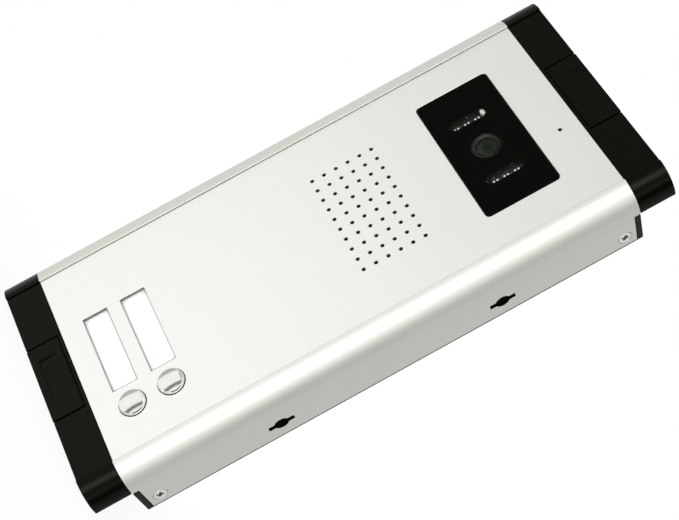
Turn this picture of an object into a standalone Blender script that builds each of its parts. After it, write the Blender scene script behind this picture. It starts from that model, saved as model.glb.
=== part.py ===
"""Video intercom door station: an aluminium call panel with a camera, a speaker, name windows and buttons.

It stands as it hangs on a wall: +Z is up, the front faces -Y, and the origin lies on the wall behind the
middle of the back plate. Lengths are in metres. Depths count from the panel's face towards the wall.
"""

import math

import bmesh
import bpy
from mathutils import Vector

# Fits
CLEARANCE = 0.0003
JOIN = 0.0006
CUT_PAST = 0.001
MERGE_DISTANCE = 0.0000003

# Housing extrusion
BODY_WIDTH = 0.123
BODY_LENGTH = 0.242
BODY_DEPTH = 0.031
SHOULDER_RADIUS = 0.012
LIP_HEIGHT = 0.001
HOUSING_WALL = 0.0015
RAIL_REACH = 0.002
RAIL_THICKNESS = 0.0012
RAIL_BELOW_SHOULDER = 0.0005

# Slotted round holes in the sides
SIDE_HOLE_DIAMETER = 0.006
SIDE_SLOT_REACH = 0.0026
SIDE_SLOT_WIDTH = 0.002
SIDE_HOLE_SPACING = 0.1066
SIDE_HOLE_FROM_WALL = 0.0102

# Front panel
PANEL_INTO_SHOULDER = 0.00075
PANEL_THICKNESS = 0.0015

# Back plate and cable entry
BACK_FLANGE = 0.0006
BACK_THICKNESS = 0.0021
BACK_INSET = 0.0001
CABLE_HOLE_DIAMETER = 0.010
GROMMET_WALL = 0.0037
GROMMET_RIM = 0.0023
GROMMET_RIM_THICKNESS = 0.0012

# End caps
CAP_REACH = 0.017
CAP_SKIRT = 0.001
CAP_WALL = 0.002
CAP_FLOOR = 0.003
END_WALL = 0.0026
END_WALL_FROM_SHOULDER = 0.0009
FIXING_HOLE_DIAMETER = 0.0045

# Snap-in screw covers
COVER_WIDTH = 0.0396
COVER_BORDER = 0.0015
COVER_THICKNESS = 0.0018
COVER_PROUD = 0.0002
COVER_CLIP_SPACING = 0.024
COVER_CLIP_WIDTH = 0.006
COVER_CLIP_THICKNESS = 0.0012
COVER_CLIP_LENGTH = 0.005

# Countersunk screws, with heads at 45 degrees
SIDE_SCREW_HEAD = 0.0066
SIDE_SCREW_SHANK = 0.0035
SIDE_SCREW_LENGTH = 0.010
SIDE_SCREW_FROM_END = 0.0084
SIDE_SCREW_FROM_WALL = 0.0069
BACK_SCREW_HEAD = 0.0056
BACK_SCREW_SHANK = 0.003
BACK_SCREW_LENGTH = 0.008
BACK_SCREW_SPACING = 0.070
BACK_SCREW_FROM_END = 0.0066
HEAD_RIM = 0.0002
BOSS_SIZE = 0.008
BOSS_PAST_SCREW = 0.0015

# Camera window and what sits behind it
CAMERA_FROM_TOP = 0.0388
WINDOW_WIDTH = 0.0685
WINDOW_HEIGHT = 0.0355
WINDOW_CORNER = 0.002
WINDOW_LEDGE = 0.004
BRACKET_OVERLAP = 0.002
BRACKET_WALL = 0.0015
BRACKET_STEP = 0.002
LED_GAP = 0.0017
LED_HEIGHT = 0.0012
LED_LENGTH = 0.0034
LED_STRIP_WIDTH = 0.0036
LED_STRIP_THICKNESS = 0.0008
LED_STRIP_END = 0.0004
LED_COUNT = 3
LED_SPACING = 0.0018
LED_ROW_FROM_LENS = 0.017
LEFT_ROW_DROP = 0.0015
RIGHT_ROW_DROP = 0.0002
LED_BOARD_THICKNESS = 0.0012
SENSOR_DIAMETER = 0.0044
SENSOR_HEIGHT = 0.003
SENSOR_PAST_LEDS = 0.0006
LENS_GAP = 0.0004
LENS_HEAD_DIAMETER = 0.014
LENS_HEAD_PAST_BOARD = 0.002
LENS_NECK_DIAMETER = 0.012
LENS_NECK_LENGTH = 0.006
LENS_BORE_DIAMETER = 0.006
LENS_RIM = 0.0023
LENS_GLASS_THICKNESS = 0.001
LENS_GLASS_RISE = 0.0006
LENS_RECESS = 0.0018
HOLDER_WALL = 0.0019
HOLDER_LENGTH = 0.0077
HOLDER_BASE_MARGIN = 0.0008
HOLDER_BASE_THICKNESS = 0.002
BOARD_THICKNESS = 0.0016

# Speaker grille and speaker
SPEAKER_BELOW_BRACKET = 0.00755
GRILLE_COLUMNS = 10
GRILLE_ROWS = 6
GRILLE_PITCH = 0.006
GRILLE_HOLE_DIAMETER = 0.0018
GASKET_WIDTH = 0.003
GASKET_THICKNESS = 0.0015
SPEAKER_FLANGE = 0.0012
SPEAKER_BASKET_DEPTH = 0.0084
SPEAKER_SHEET = 0.0008
SPEAKER_FLANGE_WIDTH = 0.002
MAGNET_DIAMETER = 0.032
MAGNET_THICKNESS = 0.005
VOICE_COIL_DIAMETER = 0.016
CONE_THICKNESS = 0.0005
CONE_DEPTH = 0.0036
CONE_SURROUND = 0.003

# Microphone
MICROPHONE_ACROSS = 0.0126
MICROPHONE_FROM_END_WALL = 0.0019
MICROPHONE_HOLE_DIAMETER = 0.0018
MICROPHONE_DIAMETER = 0.006
MICROPHONE_LENGTH = 0.004
BOOT_WALL = 0.0012

# Name windows and cards
NAME_WIDTH = 0.041
NAME_HEIGHT = 0.012
NAME_RECESS = 0.0002
CARD_BORDER = 0.0015
CARD_GAP = 0.0012
CARD_THICKNESS = 0.0003
CARD_HOLDER_BASE = 0.002
CARD_HOLDER_MARGIN = 0.003
CARD_HOLDER_FROM_END_WALL = 0.0039
ROW_GAP = 0.0035
CARD_POST_DIAMETER = 0.005
CARD_POST_INSET = 0.004

# Call buttons and their switches
BUTTON_DIAMETER = 0.012
BUTTON_PROUD = 0.0022
BUTTON_EDGE = 0.0016
BUTTON_FROM_CARD = 0.0009
BUTTON_TRAVEL = 0.0012
BUTTON_FLANGE = 0.0011
BUTTON_FLANGE_THICKNESS = 0.0014
STEM_DIAMETER = 0.005
STEM_LENGTH = 0.003
SWITCH_WIDTH = 0.006
SWITCH_FLOOR = 0.001
PLUNGER_DIAMETER = 0.0034
PLUNGER_SPARE = 0.0007
PLUNGER_SEAT = 0.001
SPRING_WIRE = 0.0007
SPRING_GAP = 0.0003
SPRING_TURNS = 4
BUTTON_BOARD_MARGIN = 0.0056

# Main board
BOARD_GAP = 0.006
TERMINAL_WIDTH = 0.030
TERMINAL_HEIGHT = 0.010
TERMINAL_THICKNESS = 0.0075
TERMINAL_WAYS = 6
TERMINAL_ENTRY = 0.003
TERMINAL_ENTRY_DEPTH = 0.003
RELAY_WIDTH = 0.019
RELAY_HEIGHT = 0.015
RELAY_THICKNESS = 0.0075
CAPACITOR_DIAMETER = 0.008
CAPACITOR_LENGTH = 0.0075
CAPACITOR_EDGE = 0.0006
PARTS_FROM_MIDDLE = 0.030
CAPACITOR_FROM_RELAY = 0.0035

# Facets
ARC_STEPS = 8
CORNER_STEPS = 3
ROUND = 32
SMALL_ROUND = 16
HOLE_ROUND = 8
SPRING_POINTS = 10

# Depths behind the panel's face, from front to back
WEB_FRONT = PANEL_THICKNESS + CLEARANCE
WEB_BACK = WEB_FRONT + HOUSING_WALL
INNER_FRONT = WEB_BACK + CLEARANCE
SHOULDER_DEPTH = SHOULDER_RADIUS - LIP_HEIGHT
CAP_DEPTH = SHOULDER_DEPTH + CAP_SKIRT
MAIN_BOARD_FRONT = SHOULDER_DEPTH + RAIL_BELOW_SHOULDER + RAIL_THICKNESS + CLEARANCE
MAIN_BOARD_BACK = MAIN_BOARD_FRONT + BOARD_THICKNESS
BACK_FRONT = BODY_DEPTH - BACK_THICKNESS
REAR_EDGE = BODY_DEPTH - BACK_FLANGE - CLEARANCE
SIDE_HOLE_DEPTH = BODY_DEPTH - SIDE_HOLE_FROM_WALL
SIDE_SCREW_DEPTH = BODY_DEPTH - SIDE_SCREW_FROM_WALL
LED_FRONT = PANEL_THICKNESS + LED_GAP
LED_STRIP_FRONT = LED_FRONT + LED_HEIGHT
LED_BOARD_FRONT = LED_STRIP_FRONT + LED_STRIP_THICKNESS + CLEARANCE
LED_BOARD_BACK = LED_BOARD_FRONT + LED_BOARD_THICKNESS
LENS_FRONT = PANEL_THICKNESS + LENS_GAP
LENS_HEAD_BACK = LED_BOARD_BACK + LENS_HEAD_PAST_BOARD
HOLDER_FRONT = LENS_HEAD_BACK + CLEARANCE
HOLDER_BACK = HOLDER_FRONT + HOLDER_LENGTH + HOLDER_BASE_THICKNESS
CAMERA_BOARD_FRONT = HOLDER_BACK + CLEARANCE
GASKET_BACK = INNER_FRONT + GASKET_THICKNESS
SPEAKER_FRONT = GASKET_BACK + CLEARANCE
SPEAKER_FLANGE_BACK = SPEAKER_FRONT + SPEAKER_FLANGE
SPEAKER_BACK = SPEAKER_FLANGE_BACK + SPEAKER_BASKET_DEPTH
CARD_FRONT = PANEL_THICKNESS + CARD_GAP
CARD_BACK = CARD_FRONT + CARD_THICKNESS
CARD_BASE_BACK = INNER_FRONT + CARD_HOLDER_BASE
FLANGE_BACK = INNER_FRONT + BUTTON_FLANGE_THICKNESS
STEM_END = FLANGE_BACK + STEM_LENGTH
PLUNGER_FRONT = STEM_END + CLEARANCE
SWITCH_FRONT = PLUNGER_FRONT + BUTTON_TRAVEL + PLUNGER_SPARE
PLUNGER_BACK = SWITCH_FRONT + PLUNGER_SEAT
SWITCH_BORE_END = PLUNGER_BACK + BUTTON_TRAVEL + CLEARANCE
SWITCH_BACK = SWITCH_BORE_END + SWITCH_FLOOR
BUTTON_BOARD_FRONT = SWITCH_BACK + CLEARANCE

# Places across and along the body
HALF_WIDTH = BODY_WIDTH / 2
HALF_LENGTH = BODY_LENGTH / 2
INNER_HALF = HALF_WIDTH - HOUSING_WALL
INNER_RADIUS = SHOULDER_RADIUS - HOUSING_WALL
SHOULDER_CENTRE = HALF_WIDTH - SHOULDER_RADIUS
PANEL_HALF = SHOULDER_CENTRE + PANEL_INTO_SHOULDER
LIP_ACROSS = PANEL_HALF + CLEARANCE
END_WALL_INNER = HALF_LENGTH - END_WALL
CAP_START = HALF_LENGTH + CLEARANCE
CAP_END = HALF_LENGTH + CAP_REACH
CAMERA_UP = HALF_LENGTH - CAMERA_FROM_TOP
WEB_WINDOW_WIDTH = WINDOW_WIDTH - 2 * WINDOW_LEDGE
WEB_WINDOW_HEIGHT = WINDOW_HEIGHT - 2 * WINDOW_LEDGE
BRACKET_WIDTH = WEB_WINDOW_WIDTH + 2 * BRACKET_OVERLAP
BRACKET_HEIGHT = WEB_WINDOW_HEIGHT + 2 * BRACKET_OVERLAP
GRILLE_HALF_WIDTH = GRILLE_PITCH * (GRILLE_COLUMNS - 1) / 2
GRILLE_HALF_HEIGHT = GRILLE_PITCH * (GRILLE_ROWS - 1) / 2
GRILLE_RADIUS = math.hypot(GRILLE_HALF_WIDTH, GRILLE_HALF_HEIGHT) + GRILLE_HOLE_DIAMETER
SPEAKER_RADIUS = GRILLE_RADIUS + GASKET_WIDTH
SPEAKER_UP = CAMERA_UP - BRACKET_HEIGHT / 2 - SPEAKER_BELOW_BRACKET - SPEAKER_RADIUS
BOOT_RADIUS = MICROPHONE_DIAMETER / 2 + CLEARANCE + BOOT_WALL
MICROPHONE_UP = END_WALL_INNER - MICROPHONE_FROM_END_WALL - BOOT_RADIUS
CARD_WIDTH = NAME_WIDTH + 2 * CARD_BORDER
CARD_HEIGHT = NAME_HEIGHT + 2 * CARD_BORDER
BUTTON_RADIUS = BUTTON_DIAMETER / 2
BUTTON_FLANGE_RADIUS = BUTTON_RADIUS + BUTTON_FLANGE
BUTTON_ACROSS = CARD_WIDTH / 2 + BUTTON_FROM_CARD + BUTTON_FLANGE_RADIUS
ROW_PITCH = max(CARD_HEIGHT, 2 * BUTTON_FLANGE_RADIUS) + ROW_GAP
CARD_HOLDER_LEFT = -CARD_WIDTH / 2 - CARD_HOLDER_MARGIN
CARD_HOLDER_RIGHT = CARD_WIDTH / 2 + BUTTON_FROM_CARD / 2
CARD_HOLDER_BOTTOM = CARD_HOLDER_FROM_END_WALL - END_WALL_INNER
LOWER_NAME_UP = CARD_HOLDER_BOTTOM + CARD_HOLDER_MARGIN + CARD_HEIGHT / 2
UPPER_NAME_UP = LOWER_NAME_UP + ROW_PITCH
NAMES_UP = (LOWER_NAME_UP + UPPER_NAME_UP) / 2
CARD_HOLDER_TOP = UPPER_NAME_UP + CARD_HEIGHT / 2 + CARD_HOLDER_MARGIN
SPRING_RADIUS = math.hypot(SWITCH_WIDTH, SWITCH_WIDTH) / 2 + SPRING_GAP + SPRING_WIRE / 2
MAIN_BOARD_TOP = SPEAKER_UP - SPEAKER_RADIUS - BOARD_GAP
MAIN_BOARD_BOTTOM = CARD_HOLDER_TOP + BOARD_GAP
CAPACITOR_ACROSS = PARTS_FROM_MIDDLE + RELAY_WIDTH / 2 + CAPACITOR_FROM_RELAY + CAPACITOR_DIAMETER / 2
MAIN_BOARD_UP = (MAIN_BOARD_TOP + MAIN_BOARD_BOTTOM) / 2
GROMMET_RADIUS = CABLE_HOLE_DIAMETER / 2 + GROMMET_WALL
LED_PITCH = LED_LENGTH + LED_SPACING
LED_ROW_HALF = LED_PITCH * (LED_COUNT - 1) / 2 + LED_LENGTH / 2 + LED_STRIP_END
SENSOR_UP = CAMERA_UP - LEFT_ROW_DROP + LED_ROW_HALF + CLEARANCE + SENSOR_DIAMETER / 2
FIXING_UP = (CAP_START + COVER_BORDER + CAP_END - COVER_THICKNESS) / 2


def y_at(depth):
    """World y of a plane this deep behind the panel's face."""
    return depth - BODY_DEPTH


def finish(name, colour, roughness, metallic=0.0):
    material = bpy.data.materials.new(name)
    material.use_nodes = True
    shader = material.node_tree.nodes["Principled BSDF"]
    shader.inputs["Base Color"].default_value = (*colour, 1.0)
    shader.inputs["Roughness"].default_value = roughness
    shader.inputs["Metallic"].default_value = metallic
    return material


# Outlines


def rectangle(low_across, high_across, low_up, high_up):
    return [(low_across, low_up), (high_across, low_up), (high_across, high_up), (low_across, high_up)]


def centred_rectangle(width, height, across=0.0, up=0.0):
    return rectangle(across - width / 2, across + width / 2, up - height / 2, up + height / 2)


def arc(centre_across, centre_up, radius, start, end, steps):
    points = []
    for step in range(steps + 1):
        angle = start + (end - start) * step / steps
        points.append((centre_across + radius * math.cos(angle), centre_up + radius * math.sin(angle)))
    return points


def circle(radius, across=0.0, up=0.0, sides=ROUND):
    return arc(across, up, radius, 0.0, 2 * math.pi, sides)[:-1]


def rounded_rectangle(width, height, radius, up):
    outline = []
    for turn, (side, rise) in enumerate(((1, 1), (-1, 1), (-1, -1), (1, -1))):
        across = side * (width / 2 - radius)
        corner = up + rise * (height / 2 - radius)
        outline += arc(across, corner, radius, turn * math.pi / 2, (turn + 1) * math.pi / 2, CORNER_STEPS)
    return outline


def mirrored(points):
    return [(-across, depth) for across, depth in reversed(points)]


def shoulder(radius, top_angle, downwards):
    """Points of the right shoulder's arc, in (across, depth), between top_angle and the flat side."""
    points = [(across, -up) for across, up in
              arc(SHOULDER_CENTRE, -SHOULDER_DEPTH, radius, 0.0, top_angle, ARC_STEPS)]
    return points[::-1] if downwards else points


def outer_shoulder():
    lip_angle = math.acos((LIP_ACROSS - SHOULDER_CENTRE) / SHOULDER_RADIUS)
    return shoulder(SHOULDER_RADIUS, lip_angle, downwards=True)


def inside_shoulder(depth):
    """How far across the inside of the shoulder lies at a depth."""
    rise = SHOULDER_DEPTH - depth
    return SHOULDER_CENTRE + math.sqrt(INNER_RADIUS ** 2 - rise ** 2)


def in_world(outline):
    """Turns (across, depth) points into (x, y) points."""
    return [(across, y_at(depth)) for across, depth in outline]


def slotted_hole():
    """A round hole with a narrow slot on both sides, as (depth, up) points about its centre."""
    slot_radius = SIDE_SLOT_WIDTH / 2
    slot_end = SIDE_HOLE_DIAMETER / 2 + SIDE_SLOT_REACH - slot_radius
    opening = math.asin(SIDE_SLOT_WIDTH / SIDE_HOLE_DIAMETER)
    half = arc(0.0, 0.0, SIDE_HOLE_DIAMETER / 2, opening - math.pi / 2, math.pi / 2 - opening, ARC_STEPS)
    tip = arc(0.0, slot_end, slot_radius, 0.0, math.pi, 2 * CORNER_STEPS)
    return half + tip + [(-depth, -up) for depth, up in half + tip]


# Solids


def add_prism(bm, outline, axis, start, end):
    """Adds an outline pushed along an axis: X takes (y, z) points, Y takes (x, z) and Z takes (x, y)."""
    along = "XYZ".index(axis)
    first, second = (number for number in range(3) if number != along)
    corners = []
    for point in outline:
        place = [0.0, 0.0, 0.0]
        place[first], place[second] = point
        place[along] = start
        corners.append(bm.verts.new(place))
    base = bm.faces.new(corners)
    pushed = bmesh.ops.extrude_face_region(bm, geom=[base], use_keep_orig=True)["geom"]
    shift = Vector((0.0, 0.0, 0.0))
    shift[along] = end - start
    moved = [item for item in pushed if isinstance(item, bmesh.types.BMVert)]
    bmesh.ops.translate(bm, vec=shift, verts=moved)


def add_block(bm, across, depth, up):
    """Adds a box from its ranges across, in depth behind the panel's face, and up."""
    add_prism(bm, rectangle(across[0], across[1], up[0], up[1]), "Y", y_at(depth[0]), y_at(depth[1]))


def add_turned(bm, profile, axis, centre, sides=ROUND):
    """Adds (radius, along) points turned about an axis: a solid if they start on it, or else a ring."""
    direction = Vector(axis)
    outward = direction.orthogonal().normalized()
    points = [bm.verts.new(Vector(centre) + outward * radius + direction * along)
              for radius, along in profile]
    edges = [bm.edges.new(pair) for pair in zip(points, points[1:])]
    if profile[0][0] > 0.0:
        edges.append(bm.edges.new((points[-1], points[0])))
    bmesh.ops.spin(bm, geom=points + edges, cent=centre, axis=direction, angle=2 * math.pi, steps=sides,
                   use_merge=True)
    bmesh.ops.remove_doubles(bm, verts=bm.verts, dist=MERGE_DISTANCE)


def disc(radius, start, end):
    """The profile of a plain round solid."""
    return [(0.0, start), (radius, start), (radius, end), (0.0, end)]


def ring(outer, inner, start, end):
    return [(inner, start), (outer, start), (outer, end), (inner, end)]


def new_object(name, bm, origin):
    bmesh.ops.translate(bm, vec=-Vector(origin), verts=bm.verts)
    bmesh.ops.recalc_face_normals(bm, faces=bm.faces)
    mesh = bpy.data.meshes.new(name)
    bm.to_mesh(mesh)
    bm.free()
    mesh.shade_smooth()
    mesh.set_sharp_from_angle(angle=math.radians(30))
    obj = bpy.data.objects.new(name, mesh)
    bpy.context.scene.collection.objects.link(obj)
    return obj


def add_part(name, bm, material, origin=(0.0, 0.0, 0.0)):
    obj = new_object(name, bm, origin)
    obj.location = origin
    obj.data.materials.append(material)
    return obj


def combine(obj, bm, operation):
    """Cuts the helper shape out of an object, or joins it on."""
    helper = new_object(f"{obj.name}_{operation.lower()}", bm, obj.location)
    helper.parent = obj
    helper.hide_render = True
    helper.display_type = "WIRE"
    modifier = obj.modifiers.new(helper.name, "BOOLEAN")
    modifier.operation = operation
    modifier.solver = "EXACT"
    modifier.object = helper


def screw_profile(head, shank, length, top=0.0):
    """A countersunk screw, from the flat of its head at top down to its tip."""
    cone_end = HEAD_RIM + (head - shank) / 2
    return [(0.0, top), (head / 2, top), (head / 2, HEAD_RIM), (shank / 2, cone_end), (shank / 2, length),
            (0.0, length)]


def screw_hole(head, shank, length):
    """The countersunk hole that a screw sits in, open past the face."""
    return screw_profile(head + 2 * CLEARANCE, shank + 2 * CLEARANCE, length + CLEARANCE, -CUT_PAST)


# Housing


def housing(aluminium):
    web_angle = math.asin((SHOULDER_DEPTH - WEB_BACK) / INNER_RADIUS)
    right = [(LIP_ACROSS, WEB_FRONT)] + outer_shoulder()
    right += [(HALF_WIDTH, REAR_EDGE), (INNER_HALF, REAR_EDGE)]
    rear_rail = MAIN_BOARD_BACK + CLEARANCE
    front_rail = MAIN_BOARD_FRONT - CLEARANCE - RAIL_THICKNESS
    for rail in (rear_rail, front_rail):
        right.append((INNER_HALF, rail + RAIL_THICKNESS))
        right.append((INNER_HALF - RAIL_REACH, rail + RAIL_THICKNESS))
        right.append((INNER_HALF - RAIL_REACH, rail))
        right.append((INNER_HALF, rail))
    right += shoulder(INNER_RADIUS, web_angle, downwards=False)
    bm = bmesh.new()
    add_prism(bm, in_world(right + mirrored(right)), "Z", -HALF_LENGTH, HALF_LENGTH)
    obj = add_part("housing", bm, aluminium)

    openings = bmesh.new()
    front = y_at(-LIP_HEIGHT - CUT_PAST)
    back = y_at(WEB_BACK + CUT_PAST)
    window = centred_rectangle(WEB_WINDOW_WIDTH, WEB_WINDOW_HEIGHT, up=CAMERA_UP)
    add_prism(openings, window, "Y", front, back)
    add_prism(openings, circle(GRILLE_RADIUS, up=SPEAKER_UP), "Y", front, back)
    sound_hole = MICROPHONE_DIAMETER / 2 - CLEARANCE
    add_prism(openings, circle(sound_hole, MICROPHONE_ACROSS, MICROPHONE_UP, SMALL_ROUND), "Y", front, back)
    for up in (LOWER_NAME_UP, UPPER_NAME_UP):
        card = centred_rectangle(CARD_WIDTH + 2 * CLEARANCE, CARD_HEIGHT + 2 * CLEARANCE, up=up)
        add_prism(openings, card, "Y", front, back)
        add_prism(openings, circle(BUTTON_RADIUS + CLEARANCE, BUTTON_ACROSS, up), "Y", front, back)
    for end in (-1, 1):
        up = end * SIDE_HOLE_SPACING / 2
        hole = [(y_at(SIDE_HOLE_DEPTH) + across, up + rise) for across, rise in slotted_hole()]
        add_prism(openings, hole, "X", -HALF_WIDTH - CUT_PAST, HALF_WIDTH + CUT_PAST)
    combine(obj, openings, "DIFFERENCE")

    ends = bmesh.new()
    for side in (-1, 1):
        for end in (-1, 1):
            across = sorted((side * (INNER_HALF - RAIL_REACH - CUT_PAST), side * (HALF_WIDTH + CUT_PAST)))
            up = sorted((end * END_WALL_INNER - end * CLEARANCE, end * (HALF_LENGTH + CUT_PAST)))
            add_block(ends, across, (CAP_DEPTH + CLEARANCE, REAR_EDGE + CUT_PAST), up)
            hole = screw_hole(SIDE_SCREW_HEAD, SIDE_SCREW_SHANK, SIDE_SCREW_LENGTH)
            add_turned(ends, hole, (-side, 0.0, 0.0), side_screw_head(side, end), SMALL_ROUND)
    combine(obj, ends, "DIFFERENCE")


def front_panel(aluminium):
    bm = bmesh.new()
    add_block(bm, (-PANEL_HALF, PANEL_HALF), (0.0, PANEL_THICKNESS), (-HALF_LENGTH, HALF_LENGTH))
    obj = add_part("front_panel", bm, aluminium, (0.0, y_at(0.0), 0.0))

    openings = bmesh.new()
    front = y_at(-CUT_PAST)
    back = y_at(PANEL_THICKNESS + CUT_PAST)
    width = WINDOW_WIDTH + 2 * CLEARANCE
    height = WINDOW_HEIGHT + 2 * CLEARANCE
    add_prism(openings, rounded_rectangle(width, height, WINDOW_CORNER, CAMERA_UP), "Y", front, back)
    sound_hole = circle(MICROPHONE_HOLE_DIAMETER / 2, MICROPHONE_ACROSS, MICROPHONE_UP, HOLE_ROUND)
    add_prism(openings, sound_hole, "Y", front, back)
    for up in (LOWER_NAME_UP, UPPER_NAME_UP):
        add_prism(openings, centred_rectangle(NAME_WIDTH, NAME_HEIGHT, up=up), "Y", front, back)
        add_prism(openings, circle(BUTTON_RADIUS + CLEARANCE, BUTTON_ACROSS, up), "Y", front, back)
    for column in range(GRILLE_COLUMNS):
        for row in range(GRILLE_ROWS):
            across = column * GRILLE_PITCH - GRILLE_HALF_WIDTH
            up = SPEAKER_UP + row * GRILLE_PITCH - GRILLE_HALF_HEIGHT
            hole = circle(GRILLE_HOLE_DIAMETER / 2, across, up, HOLE_ROUND)
            add_prism(openings, hole, "Y", front, back)
    combine(obj, openings, "DIFFERENCE")


# End caps


def side_screw_head(side, end):
    return (side * HALF_WIDTH, y_at(SIDE_SCREW_DEPTH), end * (HALF_LENGTH - SIDE_SCREW_FROM_END))


def back_screw_head(side, end):
    return (side * BACK_SCREW_SPACING / 2, 0.0, end * (HALF_LENGTH - BACK_SCREW_FROM_END))


def end_cap(name, end, plastic):
    """One moulded end. end is 1 at the top and -1 at the bottom."""
    right = [(LIP_ACROSS, 0.0)] + outer_shoulder() + [(HALF_WIDTH, CAP_DEPTH)]
    bm = bmesh.new()
    add_prism(bm, in_world(right + mirrored(right)), "Z", end * CAP_START, end * CAP_END)
    obj = add_part(name, bm, plastic, (0.0, y_at(0.0), end * HALF_LENGTH))

    wall = bmesh.new()
    narrow = inside_shoulder(INNER_FRONT) - END_WALL_FROM_SHOULDER
    wide_front = CAP_DEPTH + 2 * CLEARANCE
    right = [(narrow, INNER_FRONT), (narrow, wide_front), (HALF_WIDTH, wide_front), (HALF_WIDTH, REAR_EDGE)]
    add_prism(wall, in_world(right + mirrored(right)), "Z", end * END_WALL_INNER, end * HALF_LENGTH)
    combine(obj, wall, "UNION")

    tongue = bmesh.new()
    tongue_up = sorted((end * (HALF_LENGTH - JOIN), end * (CAP_START + JOIN)))
    add_block(tongue, (JOIN - narrow, narrow - JOIN), (INNER_FRONT + JOIN, CAP_DEPTH - JOIN), tongue_up)
    combine(obj, tongue, "UNION")

    bosses = bmesh.new()
    for side in (-1, 1):
        foot = end * (END_WALL_INNER + JOIN)
        screw_up = side_screw_head(side, end)[2]
        boss_end = HALF_WIDTH - SIDE_SCREW_LENGTH - BOSS_PAST_SCREW
        across = sorted((side * boss_end, side * (INNER_HALF - CLEARANCE)))
        depth = (SIDE_SCREW_DEPTH - BOSS_SIZE / 2, BACK_FRONT - CLEARANCE)
        add_block(bosses, across, depth, sorted((screw_up - end * BOSS_SIZE / 2, foot)))
        middle, _, screw_up = back_screw_head(side, end)
        across = (middle - BOSS_SIZE / 2, middle + BOSS_SIZE / 2)
        depth = (BODY_DEPTH - BACK_SCREW_LENGTH - BOSS_PAST_SCREW, BACK_FRONT - CLEARANCE)
        add_block(bosses, across, depth, sorted((screw_up - end * BOSS_SIZE / 2, foot)))
    combine(obj, bosses, "UNION")

    cuts = bmesh.new()
    pocket_half = COVER_WIDTH / 2 + CLEARANCE
    pocket_up = sorted((end * (CAP_START + COVER_BORDER), end * (CAP_END + CUT_PAST)))
    add_block(cuts, (-pocket_half, pocket_half), (-CUT_PAST, CAP_DEPTH - CAP_FLOOR), pocket_up)
    hollow_radius = SHOULDER_RADIUS - CAP_WALL
    hollow_angle = math.asin((SHOULDER_DEPTH - CAP_WALL) / hollow_radius)
    hollow = [(pocket_half + CAP_WALL, CAP_WALL)] + shoulder(hollow_radius, hollow_angle, downwards=True)
    hollow_back = CAP_DEPTH + CUT_PAST
    hollow += [(SHOULDER_CENTRE + hollow_radius, hollow_back), (pocket_half + CAP_WALL, hollow_back)]
    for outline in (hollow, mirrored(hollow)):
        add_prism(cuts, in_world(outline), "Z", end * (CAP_START + CAP_WALL), end * (CAP_END - CAP_WALL))
    for side in (-1, 1):
        bore = disc(SIDE_SCREW_SHANK / 2 + CLEARANCE, 0.0, SIDE_SCREW_LENGTH + CLEARANCE)
        add_turned(cuts, bore, (-side, 0.0, 0.0), side_screw_head(side, end), SMALL_ROUND)
        bore = disc(BACK_SCREW_SHANK / 2 + CLEARANCE, 0.0, BACK_SCREW_LENGTH + CLEARANCE)
        add_turned(cuts, bore, (0.0, -1.0, 0.0), back_screw_head(side, end), SMALL_ROUND)
    combine(obj, cuts, "DIFFERENCE")

    fixing = bmesh.new()
    hole = circle(FIXING_HOLE_DIAMETER / 2, up=end * FIXING_UP, sides=SMALL_ROUND)
    add_prism(fixing, hole, "Y", y_at(CAP_DEPTH - CAP_FLOOR - CUT_PAST), y_at(CAP_DEPTH + CUT_PAST))
    combine(obj, fixing, "DIFFERENCE")


def screw_cover(name, end, plastic):
    """A plate with a lip over the cap's end face and two clip legs. It is pulled off forwards."""
    half = COVER_WIDTH / 2
    inner = CAP_START + COVER_BORDER + CLEARANCE
    outer = CAP_END + COVER_PROUD
    lip_inner = outer - COVER_THICKNESS
    under = COVER_THICKNESS - COVER_PROUD
    lip_end = CAP_DEPTH - CAP_FLOOR - CLEARANCE
    section = [(-COVER_PROUD, inner), (-COVER_PROUD, outer), (lip_end, outer), (lip_end, lip_inner),
               (under, lip_inner), (under, inner)]
    bm = bmesh.new()
    add_prism(bm, [(y_at(depth), end * up) for depth, up in section], "X", -half, half)
    obj = add_part(name, bm, plastic, (0.0, y_at(0.0), end * (inner + outer) / 2))

    legs = bmesh.new()
    for side in (-1, 1):
        middle = side * COVER_CLIP_SPACING / 2
        across = (middle - COVER_CLIP_WIDTH / 2, middle + COVER_CLIP_WIDTH / 2)
        up = sorted((end * (inner + CLEARANCE), end * (inner + CLEARANCE + COVER_CLIP_THICKNESS)))
        add_block(legs, across, (under - JOIN, under + COVER_CLIP_LENGTH), up)
    combine(obj, legs, "UNION")


# Back plate, cable entry and screws


def back_plate(plastic):
    bm = bmesh.new()
    half = INNER_HALF - CLEARANCE
    end = END_WALL_INNER - CLEARANCE
    add_block(bm, (-half, half), (BACK_FRONT, BODY_DEPTH - BACK_FLANGE / 2), (-end, end))
    obj = add_part("back_plate", bm, plastic)

    flange = bmesh.new()
    half = HALF_WIDTH - BACK_INSET
    end = HALF_LENGTH - BACK_INSET
    add_block(flange, (-half, half), (BODY_DEPTH - BACK_FLANGE, BODY_DEPTH), (-end, end))
    combine(obj, flange, "UNION")

    holes = bmesh.new()
    cable_hole = circle(GROMMET_RADIUS + CLEARANCE, up=MAIN_BOARD_UP)
    add_prism(holes, cable_hole, "Y", y_at(BACK_FRONT - CUT_PAST), y_at(BODY_DEPTH + CUT_PAST))
    for side in (-1, 1):
        for end in (-1, 1):
            hole = screw_hole(BACK_SCREW_HEAD, BACK_SCREW_SHANK, BACK_SCREW_LENGTH)
            add_turned(holes, hole, (0.0, -1.0, 0.0), back_screw_head(side, end), SMALL_ROUND)
    combine(obj, holes, "DIFFERENCE")


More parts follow.
